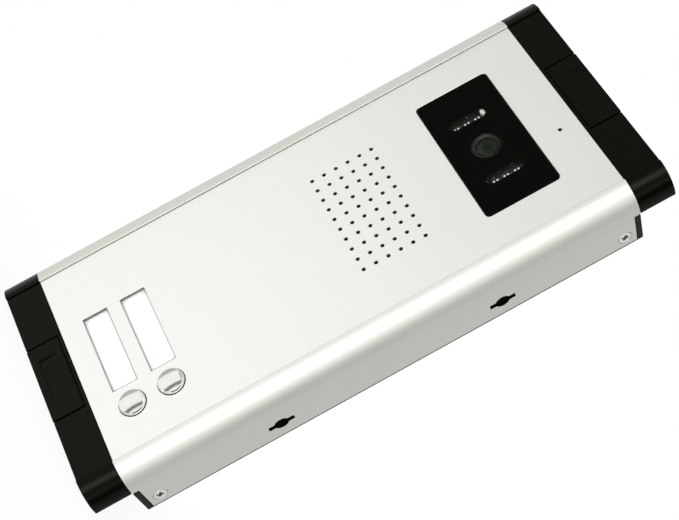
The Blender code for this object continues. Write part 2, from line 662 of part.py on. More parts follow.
def cable_grommet(rubber):
    rim = GROMMET_RADIUS + GROMMET_RIM
    rim_back = BACK_FRONT - CLEARANCE
    rim_front = rim_back - GROMMET_RIM_THICKNESS
    bore = CABLE_HOLE_DIAMETER / 2
    profile = [(bore, rim_front), (rim, rim_front), (rim, rim_back), (GROMMET_RADIUS, rim_back),
               (GROMMET_RADIUS, BODY_DEPTH - CLEARANCE), (bore, BODY_DEPTH - CLEARANCE)]
    bm = bmesh.new()
    add_turned(bm, profile, (0.0, 1.0, 0.0), (0.0, y_at(0.0), MAIN_BOARD_UP))
    add_part("cable_grommet", bm, rubber, (0.0, 0.0, MAIN_BOARD_UP))


def screws(steel):
    """Two screws through each side and four through the back, all into the end caps."""
    for side, side_name in ((-1, "left"), (1, "right")):
        for end, end_name in ((-1, "lower"), (1, "upper")):
            profile = screw_profile(SIDE_SCREW_HEAD, SIDE_SCREW_SHANK, SIDE_SCREW_LENGTH)
            bm = bmesh.new()
            head = side_screw_head(side, end)
            add_turned(bm, profile, (-side, 0.0, 0.0), head, SMALL_ROUND)
            add_part(f"{end_name}_{side_name}_side_screw", bm, steel, head)
            profile = screw_profile(BACK_SCREW_HEAD, BACK_SCREW_SHANK, BACK_SCREW_LENGTH)
            bm = bmesh.new()
            head = back_screw_head(side, end)
            add_turned(bm, profile, (0.0, -1.0, 0.0), head, SMALL_ROUND)
            add_part(f"{end_name}_{side_name}_back_screw", bm, steel, head)


# Camera


def camera_window(glass):
    bm = bmesh.new()
    outline = rounded_rectangle(WINDOW_WIDTH, WINDOW_HEIGHT, WINDOW_CORNER, CAMERA_UP)
    add_prism(bm, outline, "Y", y_at(0.0), y_at(PANEL_THICKNESS))
    add_part("camera_window", bm, glass, (0.0, y_at(0.0), CAMERA_UP))


def camera_bracket(plastic):
    """A box without ends: a step inside carries the LED board, and its back edge carries the camera board."""
    bm = bmesh.new()
    outline = centred_rectangle(BRACKET_WIDTH, BRACKET_HEIGHT, up=CAMERA_UP)
    add_prism(bm, outline, "Y", y_at(INNER_FRONT), y_at(HOLDER_BACK))
    obj = add_part("camera_bracket", bm, plastic, (0.0, y_at(INNER_FRONT), CAMERA_UP))
    step = LED_BOARD_BACK + CLEARANCE
    for wall, front, back in ((BRACKET_WALL, INNER_FRONT - CUT_PAST, step),
                              (BRACKET_WALL + BRACKET_STEP, INNER_FRONT, HOLDER_BACK + CUT_PAST)):
        hollow = bmesh.new()
        outline = centred_rectangle(BRACKET_WIDTH - 2 * wall, BRACKET_HEIGHT - 2 * wall, up=CAMERA_UP)
        add_prism(hollow, outline, "Y", y_at(front), y_at(back))
        combine(obj, hollow, "DIFFERENCE")


def led_board(board):
    bm = bmesh.new()
    inset = 2 * (BRACKET_WALL + CLEARANCE)
    outline = centred_rectangle(BRACKET_WIDTH - inset, BRACKET_HEIGHT - inset, up=CAMERA_UP)
    add_prism(bm, outline, "Y", y_at(LED_BOARD_FRONT), y_at(LED_BOARD_BACK))
    obj = add_part("led_board", bm, board, (0.0, y_at(LED_BOARD_FRONT), CAMERA_UP))
    hole = bmesh.new()
    outline = circle(LENS_HEAD_DIAMETER / 2 + CLEARANCE, up=CAMERA_UP)
    add_prism(hole, outline, "Y", y_at(LED_BOARD_FRONT - CUT_PAST), y_at(LED_BOARD_BACK + CUT_PAST))
    combine(obj, hole, "DIFFERENCE")


def led_row(name, side, drop, package):
    """A strip with raised LEDs, beside the lens."""
    middle = CAMERA_UP - drop
    strip_back = LED_STRIP_FRONT + LED_STRIP_THICKNESS
    bottom = middle - LED_ROW_HALF
    top = middle + LED_ROW_HALF
    section = [(strip_back, top), (strip_back, bottom), (LED_STRIP_FRONT, bottom)]
    for number in range(LED_COUNT):
        up = middle + LED_PITCH * (number - (LED_COUNT - 1) / 2)
        for edge in (up - LED_LENGTH / 2, up + LED_LENGTH / 2):
            ends = (LED_STRIP_FRONT, LED_FRONT) if edge < up else (LED_FRONT, LED_STRIP_FRONT)
            section += [(depth, edge) for depth in ends]
    section.append((LED_STRIP_FRONT, top))
    across = side * LED_ROW_FROM_LENS
    bm = bmesh.new()
    outline = [(y_at(depth), up) for depth, up in section]
    add_prism(bm, outline, "X", across - LED_STRIP_WIDTH / 2, across + LED_STRIP_WIDTH / 2)
    add_part(name, bm, package, (across, y_at(LED_FRONT), middle))


def light_sensor(plastic):
    """It stands on the LED board above the left row of LEDs, a little further out."""
    place = (-LED_ROW_FROM_LENS - SENSOR_PAST_LEDS, y_at(0.0), SENSOR_UP)
    back = LED_BOARD_FRONT - CLEARANCE
    bm = bmesh.new()
    add_turned(bm, disc(SENSOR_DIAMETER / 2, back - SENSOR_HEIGHT, back), (0.0, 1.0, 0.0), place, SMALL_ROUND)
    add_part("light_sensor", bm, plastic, place)


def lens(barrel_finish, glass):
    place = (0.0, y_at(0.0), CAMERA_UP)
    head = LENS_HEAD_DIAMETER / 2
    neck = LENS_NECK_DIAMETER / 2
    bore = LENS_BORE_DIAMETER / 2
    seat = head - LENS_RIM + CLEARANCE
    seat_depth = LENS_FRONT + LENS_RECESS
    profile = [(seat, LENS_FRONT), (head, LENS_FRONT), (head, LENS_HEAD_BACK), (neck, LENS_HEAD_BACK),
               (neck, LENS_HEAD_BACK + LENS_NECK_LENGTH), (bore, LENS_HEAD_BACK + LENS_NECK_LENGTH),
               (bore, seat_depth), (seat, seat_depth)]
    bm = bmesh.new()
    add_turned(bm, profile, (0.0, 1.0, 0.0), place)
    add_part("lens_barrel", bm, barrel_finish, place)

    rim = head - LENS_RIM
    glass_back = seat_depth - CLEARANCE
    glass_front = glass_back - LENS_GLASS_THICKNESS
    dome = [(rim * math.sin(angle), glass_front - LENS_GLASS_RISE * math.cos(angle))
            for angle in (math.pi / 2 * step / CORNER_STEPS for step in range(1, CORNER_STEPS + 1))]
    profile = [(0.0, glass_front - LENS_GLASS_RISE)] + dome + [(rim, glass_back), (0.0, glass_back)]
    bm = bmesh.new()
    add_turned(bm, profile, (0.0, 1.0, 0.0), place)
    add_part("lens_glass", bm, glass, place)


def lens_holder(plastic):
    """A threaded tube on a square foot, which stands on the camera board."""
    place = (0.0, y_at(0.0), CAMERA_UP)
    bore = LENS_NECK_DIAMETER / 2 + CLEARANCE
    tube_radius = bore + HOLDER_WALL
    foot_width = 2 * (tube_radius + HOLDER_BASE_MARGIN)
    foot_front = HOLDER_FRONT + HOLDER_LENGTH
    bm = bmesh.new()
    foot = centred_rectangle(foot_width, foot_width, up=CAMERA_UP)
    add_prism(bm, foot, "Y", y_at(foot_front), y_at(HOLDER_BACK))
    obj = add_part("lens_holder", bm, plastic, place)
    tube = bmesh.new()
    add_turned(tube, disc(tube_radius, HOLDER_FRONT, foot_front + JOIN), (0.0, 1.0, 0.0), place)
    combine(obj, tube, "UNION")
    hole = bmesh.new()
    add_turned(hole, disc(bore, HOLDER_FRONT - CUT_PAST, HOLDER_BACK + CUT_PAST), (0.0, 1.0, 0.0), place)
    combine(obj, hole, "DIFFERENCE")


def camera_board(board):
    bm = bmesh.new()
    outline = centred_rectangle(BRACKET_WIDTH, BRACKET_HEIGHT, up=CAMERA_UP)
    add_prism(bm, outline, "Y", y_at(CAMERA_BOARD_FRONT), y_at(CAMERA_BOARD_FRONT + BOARD_THICKNESS))
    add_part("camera_board", bm, board, (0.0, y_at(CAMERA_BOARD_FRONT), CAMERA_UP))


# Speaker and microphone


def speaker(foam, steel, paper, magnet):
    place = (0.0, y_at(0.0), SPEAKER_UP)
    along = (0.0, 1.0, 0.0)
    bm = bmesh.new()
    add_turned(bm, ring(SPEAKER_RADIUS, GRILLE_RADIUS, INNER_FRONT, GASKET_BACK), along, place)
    add_part("speaker_gasket", bm, foam, place)

    basket_top = SPEAKER_RADIUS - SPEAKER_FLANGE_WIDTH
    basket_foot = MAGNET_DIAMETER / 2 + SPEAKER_SHEET
    coil_hole = VOICE_COIL_DIAMETER / 2
    profile = [(basket_top - SPEAKER_SHEET, SPEAKER_FRONT), (SPEAKER_RADIUS, SPEAKER_FRONT),
               (SPEAKER_RADIUS, SPEAKER_FLANGE_BACK), (basket_top, SPEAKER_FLANGE_BACK),
               (basket_foot, SPEAKER_BACK), (coil_hole, SPEAKER_BACK),
               (coil_hole, SPEAKER_BACK - SPEAKER_SHEET),
               (basket_foot - SPEAKER_SHEET, SPEAKER_BACK - SPEAKER_SHEET)]
    bm = bmesh.new()
    add_turned(bm, profile, along, place)
    add_part("speaker_frame", bm, steel, place)

    rim_front = SPEAKER_FRONT + CLEARANCE
    slope = (basket_top - basket_foot) / (SPEAKER_BACK - SPEAKER_SHEET - SPEAKER_FRONT)
    basket_at_rim = basket_top - SPEAKER_SHEET - slope * (CLEARANCE + CONE_THICKNESS)
    rim = basket_at_rim - CLEARANCE * math.hypot(1.0, slope)
    front = [(0.0, rim_front + CONE_DEPTH / 2), (coil_hole, rim_front + CONE_DEPTH),
             (rim - CONE_SURROUND, rim_front), (rim, rim_front)]
    back = [(radius, depth + CONE_THICKNESS) for radius, depth in reversed(front)]
    bm = bmesh.new()
    add_turned(bm, front + back, along, place)
    add_part("speaker_cone", bm, paper, place)

    front = SPEAKER_BACK + CLEARANCE
    bm = bmesh.new()
    add_turned(bm, disc(MAGNET_DIAMETER / 2, front, front + MAGNET_THICKNESS), along, place)
    add_part("speaker_magnet", bm, magnet, place)


def microphone(rubber, metal):
    place = (MICROPHONE_ACROSS, y_at(0.0), MICROPHONE_UP)
    along = (0.0, 1.0, 0.0)
    radius = MICROPHONE_DIAMETER / 2
    lip_back = INNER_FRONT + BOOT_WALL
    capsule_front = lip_back + CLEARANCE
    capsule_back = capsule_front + MICROPHONE_LENGTH
    sound_hole = radius - BOOT_WALL
    sleeve = radius + CLEARANCE
    profile = [(sound_hole, INNER_FRONT), (BOOT_RADIUS, INNER_FRONT), (BOOT_RADIUS, capsule_back),
               (sleeve, capsule_back), (sleeve, lip_back), (sound_hole, lip_back)]
    bm = bmesh.new()
    add_turned(bm, profile, along, place, SMALL_ROUND)
    add_part("microphone_boot", bm, rubber, place)
    bm = bmesh.new()
    add_turned(bm, disc(radius, capsule_front, capsule_back), along, place, SMALL_ROUND)
    add_part("microphone_capsule", bm, metal, place)


# Name windows


def name_window(name, up, clear, paper):
    bm = bmesh.new()
    outline = centred_rectangle(NAME_WIDTH - 2 * CLEARANCE, NAME_HEIGHT - 2 * CLEARANCE, up=up)
    add_prism(bm, outline, "Y", y_at(NAME_RECESS), y_at(PANEL_THICKNESS))
    add_part(f"{name}_name_window", bm, clear, (0.0, y_at(NAME_RECESS), up))
    bm = bmesh.new()
    outline = centred_rectangle(CARD_WIDTH, CARD_HEIGHT, up=up)
    add_prism(bm, outline, "Y", y_at(CARD_FRONT), y_at(CARD_BACK))
    add_part(f"{name}_name_card", bm, paper, (0.0, y_at(CARD_FRONT), up))


def name_card_holder(plastic):
    """A diffuser behind both cards, with posts that carry the button board."""
    bm = bmesh.new()
    add_block(bm, (CARD_HOLDER_LEFT, CARD_HOLDER_RIGHT), (INNER_FRONT, CARD_BASE_BACK),
              (CARD_HOLDER_BOTTOM, CARD_HOLDER_TOP))
    obj = add_part("name_card_holder", bm, plastic, (0.0, y_at(INNER_FRONT), NAMES_UP))
    pads = bmesh.new()
    for up in (LOWER_NAME_UP, UPPER_NAME_UP):
        add_block(pads, (-CARD_WIDTH / 2, CARD_WIDTH / 2), (CARD_BACK + CLEARANCE, INNER_FRONT + JOIN),
                  (up - CARD_HEIGHT / 2, up + CARD_HEIGHT / 2))
    combine(obj, pads, "UNION")
    posts = bmesh.new()
    for across in (CARD_HOLDER_LEFT + CARD_POST_INSET, CARD_HOLDER_RIGHT - CARD_POST_INSET):
        for up in (LOWER_NAME_UP, UPPER_NAME_UP):
            post = circle(CARD_POST_DIAMETER / 2, across, up, SMALL_ROUND)
            add_prism(posts, post, "Y", y_at(CARD_BASE_BACK - JOIN), y_at(BUTTON_BOARD_FRONT - CLEARANCE))
    combine(obj, posts, "UNION")


# Call buttons


def call_button(name, up, chrome):
    """A flanged plunger pushed in from behind the panel, with its origin on its own axis."""
    place = (BUTTON_ACROSS, y_at(0.0), up)
    top = -BUTTON_PROUD
    edge = [(BUTTON_RADIUS - BUTTON_EDGE + across, top + BUTTON_EDGE - rise)
            for across, rise in reversed(arc(0.0, 0.0, BUTTON_EDGE, 0.0, math.pi / 2, CORNER_STEPS))]
    profile = [(0.0, top)] + edge
    profile += [(BUTTON_RADIUS, INNER_FRONT), (BUTTON_FLANGE_RADIUS, INNER_FRONT),
                (BUTTON_FLANGE_RADIUS, FLANGE_BACK), (STEM_DIAMETER / 2, FLANGE_BACK),
                (STEM_DIAMETER / 2, STEM_END), (0.0, STEM_END)]
    bm = bmesh.new()
    add_turned(bm, profile, (0.0, 1.0, 0.0), place)
    add_part(f"{name}_call_button", bm, chrome, place)


def button_spring(name, up, steel):
    """An open coil round the switch, between the button's flange and the board."""
    start = FLANGE_BACK + CLEARANCE + SPRING_WIRE / 2
    end = BUTTON_BOARD_FRONT - CLEARANCE - SPRING_WIRE / 2
    curve = bpy.data.curves.new(f"{name}_button_spring", "CURVE")
    curve.dimensions = "3D"
    curve.bevel_depth = SPRING_WIRE / 2
    curve.bevel_resolution = 1
    curve.use_fill_caps = True
    coil = curve.splines.new("POLY")
    count = SPRING_TURNS * SPRING_POINTS + 1
    coil.points.add(count - 1)
    for number in range(count):
        angle = 2 * math.pi * number / SPRING_POINTS
        depth = start + (end - start) * number / (count - 1)
        across = SPRING_RADIUS * math.cos(angle)
        up_from_axis = SPRING_RADIUS * math.sin(angle)
        coil.points[number].co = (across, depth, up_from_axis, 1.0)
    curve.materials.append(steel)
    obj = bpy.data.objects.new(curve.name, curve)
    obj.location = (BUTTON_ACROSS, y_at(0.0), up)
    bpy.context.scene.collection.objects.link(obj)


def push_switch(name, up, body_finish, plunger_finish):
    place = (BUTTON_ACROSS, y_at(0.0), up)
    bm = bmesh.new()
    outline = centred_rectangle(SWITCH_WIDTH, SWITCH_WIDTH, BUTTON_ACROSS, up)
    add_prism(bm, outline, "Y", y_at(SWITCH_FRONT), y_at(SWITCH_BACK))
    obj = add_part(f"{name}_switch_body", bm, body_finish, place)
    bore = bmesh.new()
    bore_profile = disc(PLUNGER_DIAMETER / 2 + CLEARANCE, SWITCH_FRONT - CUT_PAST, SWITCH_BORE_END)
    add_turned(bore, bore_profile, (0.0, 1.0, 0.0), place, SMALL_ROUND)
    combine(obj, bore, "DIFFERENCE")
    bm = bmesh.new()
    plunger_profile = disc(PLUNGER_DIAMETER / 2, PLUNGER_FRONT, PLUNGER_BACK)
    add_turned(bm, plunger_profile, (0.0, 1.0, 0.0), place, SMALL_ROUND)
    add_part(f"{name}_switch_plunger", bm, plunger_finish, place)


def button_board(board):
    bm = bmesh.new()
    add_block(bm, (CARD_HOLDER_LEFT, BUTTON_ACROSS + BUTTON_FLANGE_RADIUS),
              (BUTTON_BOARD_FRONT, BUTTON_BOARD_FRONT + BOARD_THICKNESS),
              (LOWER_NAME_UP - BUTTON_BOARD_MARGIN, UPPER_NAME_UP + BUTTON_BOARD_MARGIN))
    add_part("button_board", bm, board, (0.0, y_at(BUTTON_BOARD_FRONT), NAMES_UP))


# Main board


def main_board(board):
    half = INNER_HALF - CLEARANCE
    bm = bmesh.new()
    add_block(bm, (-half, half), (MAIN_BOARD_FRONT, MAIN_BOARD_BACK), (MAIN_BOARD_BOTTOM, MAIN_BOARD_TOP))
    add_part("main_board", bm, board, (0.0, y_at(MAIN_BOARD_FRONT), MAIN_BOARD_UP))


def board_parts(terminal_finish, relay_finish, can_finish):
    seat = MAIN_BOARD_BACK + CLEARANCE
    bm = bmesh.new()
    bottom = MAIN_BOARD_UP - TERMINAL_HEIGHT / 2
    top = MAIN_BOARD_UP + TERMINAL_HEIGHT / 2
    left = -PARTS_FROM_MIDDLE - TERMINAL_WIDTH / 2
    add_block(bm, (left, left + TERMINAL_WIDTH), (seat, seat + TERMINAL_THICKNESS), (bottom, top))
    place = (-PARTS_FROM_MIDDLE, y_at(seat), MAIN_BOARD_UP)
    terminal = add_part("terminal_block", bm, terminal_finish, place)
    entries = bmesh.new()
    pitch = TERMINAL_WIDTH / TERMINAL_WAYS
    middle = seat + TERMINAL_THICKNESS / 2
    for way in range(TERMINAL_WAYS):
        across = left + pitch * (way + 0.5)
        add_block(entries, (across - TERMINAL_ENTRY / 2, across + TERMINAL_ENTRY / 2),
                  (middle - TERMINAL_ENTRY / 2, middle + TERMINAL_ENTRY / 2),
                  (bottom - CUT_PAST, bottom + TERMINAL_ENTRY_DEPTH))
    combine(terminal, entries, "DIFFERENCE")

    bm = bmesh.new()
    outline = centred_rectangle(RELAY_WIDTH, RELAY_HEIGHT, PARTS_FROM_MIDDLE, MAIN_BOARD_UP)
    add_prism(bm, outline, "Y", y_at(seat), y_at(seat + RELAY_THICKNESS))
    add_part("lock_relay", bm, relay_finish, (PARTS_FROM_MIDDLE, y_at(seat), MAIN_BOARD_UP))

    radius = CAPACITOR_DIAMETER / 2
    top = seat + CAPACITOR_LENGTH
    profile = [(0.0, seat), (radius, seat), (radius, top - CAPACITOR_EDGE), (radius - CAPACITOR_EDGE, top),
               (0.0, top)]
    place = (CAPACITOR_ACROSS, y_at(0.0), MAIN_BOARD_UP)
    bm = bmesh.new()
    add_turned(bm, profile, (0.0, 1.0, 0.0), place, SMALL_ROUND)
    add_part("board_capacitor", bm, can_finish, place)


def main():
    for obj in list(bpy.data.objects):
        bpy.data.objects.remove(obj)

    brushed = finish("anodised aluminium", (0.72, 0.73, 0.71), 0.38, 1.0)
    plate = finish("panel aluminium", (0.80, 0.81, 0.79), 0.42, 1.0)
    black = finish("black plastic", (0.012, 0.011, 0.010), 0.45)
    back = finish("back plate plastic", (0.02, 0.02, 0.02), 0.6)
    rubber = finish("black rubber", (0.015, 0.015, 0.015), 0.8)
    steel = finish("zinc plated steel", (0.62, 0.62, 0.60), 0.3, 1.0)
    chrome = finish("polished chrome", (0.80, 0.80, 0.79), 0.08, 1.0)
    dark_pane = finish("printed pane", (0.006, 0.006, 0.006), 0.08)
    clear = finish("clear acrylic", (0.9, 0.92, 0.92), 0.05)
    card = finish("white card", (0.9, 0.9, 0.9), 0.6)
    white = finish("white plastic", (0.85, 0.85, 0.83), 0.5)
    board = finish("green board", (0.02, 0.12, 0.05), 0.5)
    led = finish("LED package", (0.75, 0.73, 0.62), 0.4)
    lens_glass = finish("coated glass", (0.03, 0.03, 0.05), 0.03)
    foam = finish("grey foam", (0.12, 0.12, 0.12), 0.9)
    cone = finish("black paper", (0.02, 0.02, 0.02), 0.9)
    ferrite = finish("ferrite", (0.05, 0.05, 0.05), 0.6)
    can = finish("capacitor sleeve", (0.02, 0.03, 0.10), 0.4)

    housing(brushed)
    front_panel(plate)
    for place, end in (("top", 1), ("bottom", -1)):
        end_cap(f"{place}_end_cap", end, black)
        screw_cover(f"{place}_screw_cover", end, black)
    back_plate(back)
    cable_grommet(rubber)
    screws(steel)
    camera_window(dark_pane)
    camera_bracket(black)
    led_board(board)
    led_row("left_led_row", -1, LEFT_ROW_DROP, led)
    led_row("right_led_row", 1, RIGHT_ROW_DROP, led)
    light_sensor(white)
    lens(black, lens_glass)
    lens_holder(black)
    camera_board(board)
    speaker(foam, steel, cone, ferrite)
    microphone(rubber, steel)
    name_card_holder(white)
    for name, up in (("lower", LOWER_NAME_UP), ("upper", UPPER_NAME_UP)):
        name_window(name, up, clear, card)
        call_button(name, up, chrome)
        button_spring(name, up, steel)
        push_switch(name, up, black, white)
    button_board(board)
    main_board(board)
    board_parts(board, black, can)


main()
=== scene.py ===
"""Looks of the video intercom door station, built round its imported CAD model.

Lengths are in metres, in the CAD frame: +Z is up, the front faces -Y and the wall lies at Y = 0.
"""

import math

import bmesh
import bpy
from mathutils import Matrix, Vector


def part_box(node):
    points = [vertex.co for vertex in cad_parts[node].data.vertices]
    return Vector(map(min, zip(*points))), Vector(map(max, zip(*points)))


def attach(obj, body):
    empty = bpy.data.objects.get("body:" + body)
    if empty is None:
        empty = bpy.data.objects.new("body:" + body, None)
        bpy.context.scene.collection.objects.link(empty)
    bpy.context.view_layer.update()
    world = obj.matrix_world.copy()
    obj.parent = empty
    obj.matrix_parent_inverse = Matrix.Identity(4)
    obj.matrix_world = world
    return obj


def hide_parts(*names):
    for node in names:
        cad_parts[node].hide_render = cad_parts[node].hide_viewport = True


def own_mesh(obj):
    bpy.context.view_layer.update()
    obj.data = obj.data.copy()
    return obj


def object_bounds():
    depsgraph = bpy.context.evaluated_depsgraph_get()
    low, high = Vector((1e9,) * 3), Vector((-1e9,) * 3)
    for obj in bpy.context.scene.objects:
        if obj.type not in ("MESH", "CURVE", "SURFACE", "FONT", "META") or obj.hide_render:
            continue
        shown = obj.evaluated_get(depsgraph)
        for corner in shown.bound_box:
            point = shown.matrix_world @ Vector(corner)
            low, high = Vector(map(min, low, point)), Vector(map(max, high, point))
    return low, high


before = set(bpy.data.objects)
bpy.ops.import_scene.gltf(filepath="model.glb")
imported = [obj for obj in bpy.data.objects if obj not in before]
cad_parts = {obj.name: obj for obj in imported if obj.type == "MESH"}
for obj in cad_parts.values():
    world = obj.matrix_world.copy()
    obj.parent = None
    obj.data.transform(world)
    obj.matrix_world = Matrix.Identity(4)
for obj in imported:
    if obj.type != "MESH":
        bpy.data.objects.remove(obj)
CAD_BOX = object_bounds()

# Camera, where the photograph was taken
CAMERA_PLACE = Vector((0.3469, -0.5248, -0.0179))
CAMERA_RIGHT = Vector((0.4156, 0.2436, 0.8763))
CAMERA_TOP = Vector((-0.7205, -0.5000, 0.4806))
CAMERA_LENS = 73.7
CAMERA_SENSOR = 36.0

# Lamps as (place, width, height, watts), all aimed at the object
LAMPS = {
    "key_lamp": ((0.582, -1.050, 0.0), 0.36, 1.40, 9.6),
    "edge_lamp": ((1.005, -0.447, 0.0), 0.15, 1.40, 1.3),
    "fill_lamp": ((-0.440, -1.170, -0.358), 1.16, 1.15, 4.2),
    "side_lamp": ((-1.3, -0.2, -0.1), 1.00, 1.00, 1.1),
}
AMBIENT = 0.80

# Boards that show only in reflections, as (place, width, height, tone)
FLAGS = {
    "dark_flag": ((0.999, -0.052, 0.0), 0.38, 1.60, 0.08),
    "grey_flag": ((-0.262, -0.989, -0.16), 0.13, 1.00, 0.45),
}
FLAG_GRAIN = 0.01
FLAG_SPREAD = 0.3

# Floor
FLOOR_RADIUS = 0.30
FLOOR_SHADE = 0.12
SHADE_START = 0.12
SHADE_END = 0.29
FLOOR_GRAIN = 40.0
FLOOR_DARK = (0.88, 0.88, 0.88, 1.0)
FLOOR_LIGHT = (0.92, 0.92, 0.92, 1.0)

# Mesh making
MERGE_DISTANCE = 0.000001
FLAT_ANGLE = math.radians(0.2)
SHARP_ANGLE = math.radians(35)
SMOOTH_ANGLE = math.radians(40)
CUT_PAST = 0.001
ROUND = 64
SMALL_ROUND = 24
EDGE_STEPS = 3
MITRE_LIMIT = 0.1

# How far a face's normal points along an axis, to tell faces apart
TOP_FACE = 0.95
FLAT_FACE = 0.9
EDGE_FACE = 0.5

# Softened edges of the CAD shapes
HOUSING_EDGE = 0.00025
LIP_EDGE = 0.00045
LIP_LEVEL = -0.0315
LIP_LENGTH = 0.01
CAP_EDGE = 0.0004
COVER_EDGE = 0.00035
BACK_EDGE = 0.0002
GROMMET_EDGE = 0.0004
FINE_EDGE = 0.00006
LONG_EDGE = 0.0015
SHORT_EDGE = 0.0008

# Front panel
PANEL_CHAMFER = 0.00015
PANEL_REACH = 0.0002
OPENING_GAP = 0.0003
WINDOW_CORNER = 0.002
GRILLE_COLUMNS = 10
GRILLE_ROWS = 6
GRILLE_PITCH = 0.006
HOLE_RADIUS = 0.0009
HOLE_CHAMFER = 0.00012

# Screw covers
RECESS_WIDTH = 0.024
RECESS_FROM_EDGE = 0.0035
RECESS_HEIGHT = 0.0085
RECESS_DEPTH = 0.0010
RECESS_FADE = 0.55
COVER_SEAM = 0.0005

# Slotted holes in the sides
SLOT_FROM_WALL = 0.0102
SLOT_FROM_MIDDLE = 0.0533
SLOT_HOLE = 0.0034
SLOT_ARM = 0.0014
SLOT_END = 0.0061
SLOT_REACH = 0.0065
SLOT_DEPTH = 0.003

# Screws
SCREW_ROLL = 1.4
SCREW_SINK = 0.00025
RECESS_ARM = 0.52
ARM_WIDTH = 0.17
SCREW_RECESS_DEPTH = 0.40
THREAD_PITCH = 0.0008
THREAD_DEPTH = 0.0003
HEAD_RIM = 0.0002
CROWN_REACH = 0.9
CROWN_STEPS = 4
RECESS_MARGIN = 1.1
SIDE_SHANK = 0.53
BACK_SHANK = 0.536
SCREW_SEED = 3

# Camera window and what shows through it
PANE_EDGE = 0.0002
CLEAR_RADIUS = 0.0062
CLEAR_SLOT_LENGTH = 0.017
CLEAR_SLOT_WIDTH = 0.0044
PRINT_EDGE = 0.0001
PRINT_PLACE = Vector((0.0003, 0.0, -0.0004))
CLEAR_HAZE = 0.02
CLEAR_TINT = (0.02, 0.022, 0.018, 1.0)
# The print on the back face is lighter than the front's, as painted light against the shade it lies in
LIGHTENED_BACK_PRINT = (0.0050, 0.0047, 0.0036)
FRONT_PRINT = (0.0010, 0.0009, 0.0004)
FRONT_MARGIN = 0.0012
LED_COUNT = 3
LED_PITCH = 0.0052
LED_LENGTH = 0.0034
LED_WIDTH = 0.0020
LED_HEIGHT = 0.0011
LED_PIN_WIDTH = 0.0009
LED_PIN_FROM_MIDDLE = 0.00085
LED_PIN_THICKNESS = 0.00012
LED_PIN_OVER = 0.0005
LED_EDGE = 0.0002
STRIP_THICKNESS = 0.0008
SENSOR_EDGE = 0.0005
LENS_EDGE = 0.0003
LENS_FUNNEL = 0.0011
LENS_SINK = 0.0009
LENS_SEAT = 0.0003
LENS_NECK_LENGTH = 0.006
LENS_NECK_STEP = 0.001
LENS_BORE_RADIUS = 0.003
LENS_THREAD_PITCH = 0.002
LENS_THREAD_DEPTH = 0.0004
LENS_GLASS_RISE = 0.0005
LENS_STEPS = 8
COATING_START = 0.0010
COATING_END = 0.0046

# Names and call buttons
ROWS = ("upper", "lower")
BUTTON_RADIUS = 0.006
BUTTON_BENDS = ((0.0045, math.radians(53), math.radians(66)), (0.0010, math.radians(66), math.radians(86)))
BUTTON_CROWN = 0.00058
BUTTON_STEPS = 12
BUTTON_STEM_RADIUS = 0.0025
BUTTON_STEM_LENGTH = 0.003
BUTTON_FLANGE_THICKNESS = 0.0014
SPRING_WIRE = 0.0007
SPRING_TURNS = 4.0
COIL_STEPS = 24
WIRE_SIDES = 8

# Circuit boards
TRACE_PATCH = 0.009
TRACE_PITCH = 0.00127
TRACE_WIDTH = 0.0004
PAD_DENSITY = 320.0
PAD_REACH = 0.16
PAD_TIN = (0.55, 0.55, 0.52, 1.0)


# Node trees


class Wire:
    """One output of a node, which can be used in sums."""

    def __init__(self, graph, node, output):
        self.graph = graph
        self.node = node
        self.socket = node.outputs[output]

    def of(self, output):
        """Another output of the same node."""
        return Wire(self.graph, self.node, output)

    def sum(self, operation, first, second=0.0):
        return self.graph.node("ShaderNodeMath", {"operation": operation}, {0: first, 1: second})

    def __add__(self, other):
        return self.sum("ADD", self, other)

    __radd__ = __add__

    def __sub__(self, other):
        return self.sum("SUBTRACT", self, other)

    def __rsub__(self, other):
        return self.sum("SUBTRACT", other, self)

    def __mul__(self, other):
        return self.sum("MULTIPLY", self, other)

    __rmul__ = __mul__

    def __mod__(self, other):
        return self.sum("FLOORED_MODULO", self, other)

    def __abs__(self):
        return self.sum("ABSOLUTE", self)

    def __gt__(self, other):
        return self.sum("GREATER_THAN", self, other)

    def __lt__(self, other):
        return self.sum("LESS_THAN", self, other)

    def at_least(self, other):
        return self.sum("MAXIMUM", self, other)

    def at_most(self, other):
        return self.sum("MINIMUM", self, other)

    def root(self):
        return self.sum("SQRT", self)

    def sign(self):
        return self.sum("SIGN", self)


class Graph:
    """A node tree that is built by calls."""

    def __init__(self, tree):
        self.tree = tree

    def node(self, kind, settings=None, values=None, output=0):
        made = self.tree.nodes.new(kind)
        for name, value in (settings or {}).items():
            setattr(made, name, value)
        for name, value in (values or {}).items():
            self.feed(made.inputs[name], value)
        return Wire(self, made, output) if made.outputs else None

    def feed(self, socket, value):
        if isinstance(value, Wire):
            self.tree.links.new(value.socket, socket)
        else:
            socket.default_value = value

    def step(self, value, start, end):
        """Rises smoothly from 0 at start to 1 at end."""
        return self.node("ShaderNodeMapRange", {"interpolation_type": "SMOOTHSTEP"},
                         {"Value": value, "From Min": start, "From Max": end})

    def mix(self, share, first, second):
        return self.node("ShaderNodeMix", {"data_type": "RGBA"}, {0: share, 6: first, 7: second}, 2)

    def shown_directly(self):
        """1 for the rays that see a surface as a background, and 0 for those that are lit by it."""
        path = self.node("ShaderNodeLightPath", output="Is Camera Ray")
        return (path + path.of("Is Glossy Ray") + path.of("Is Transmission Ray")).at_most(1.0)


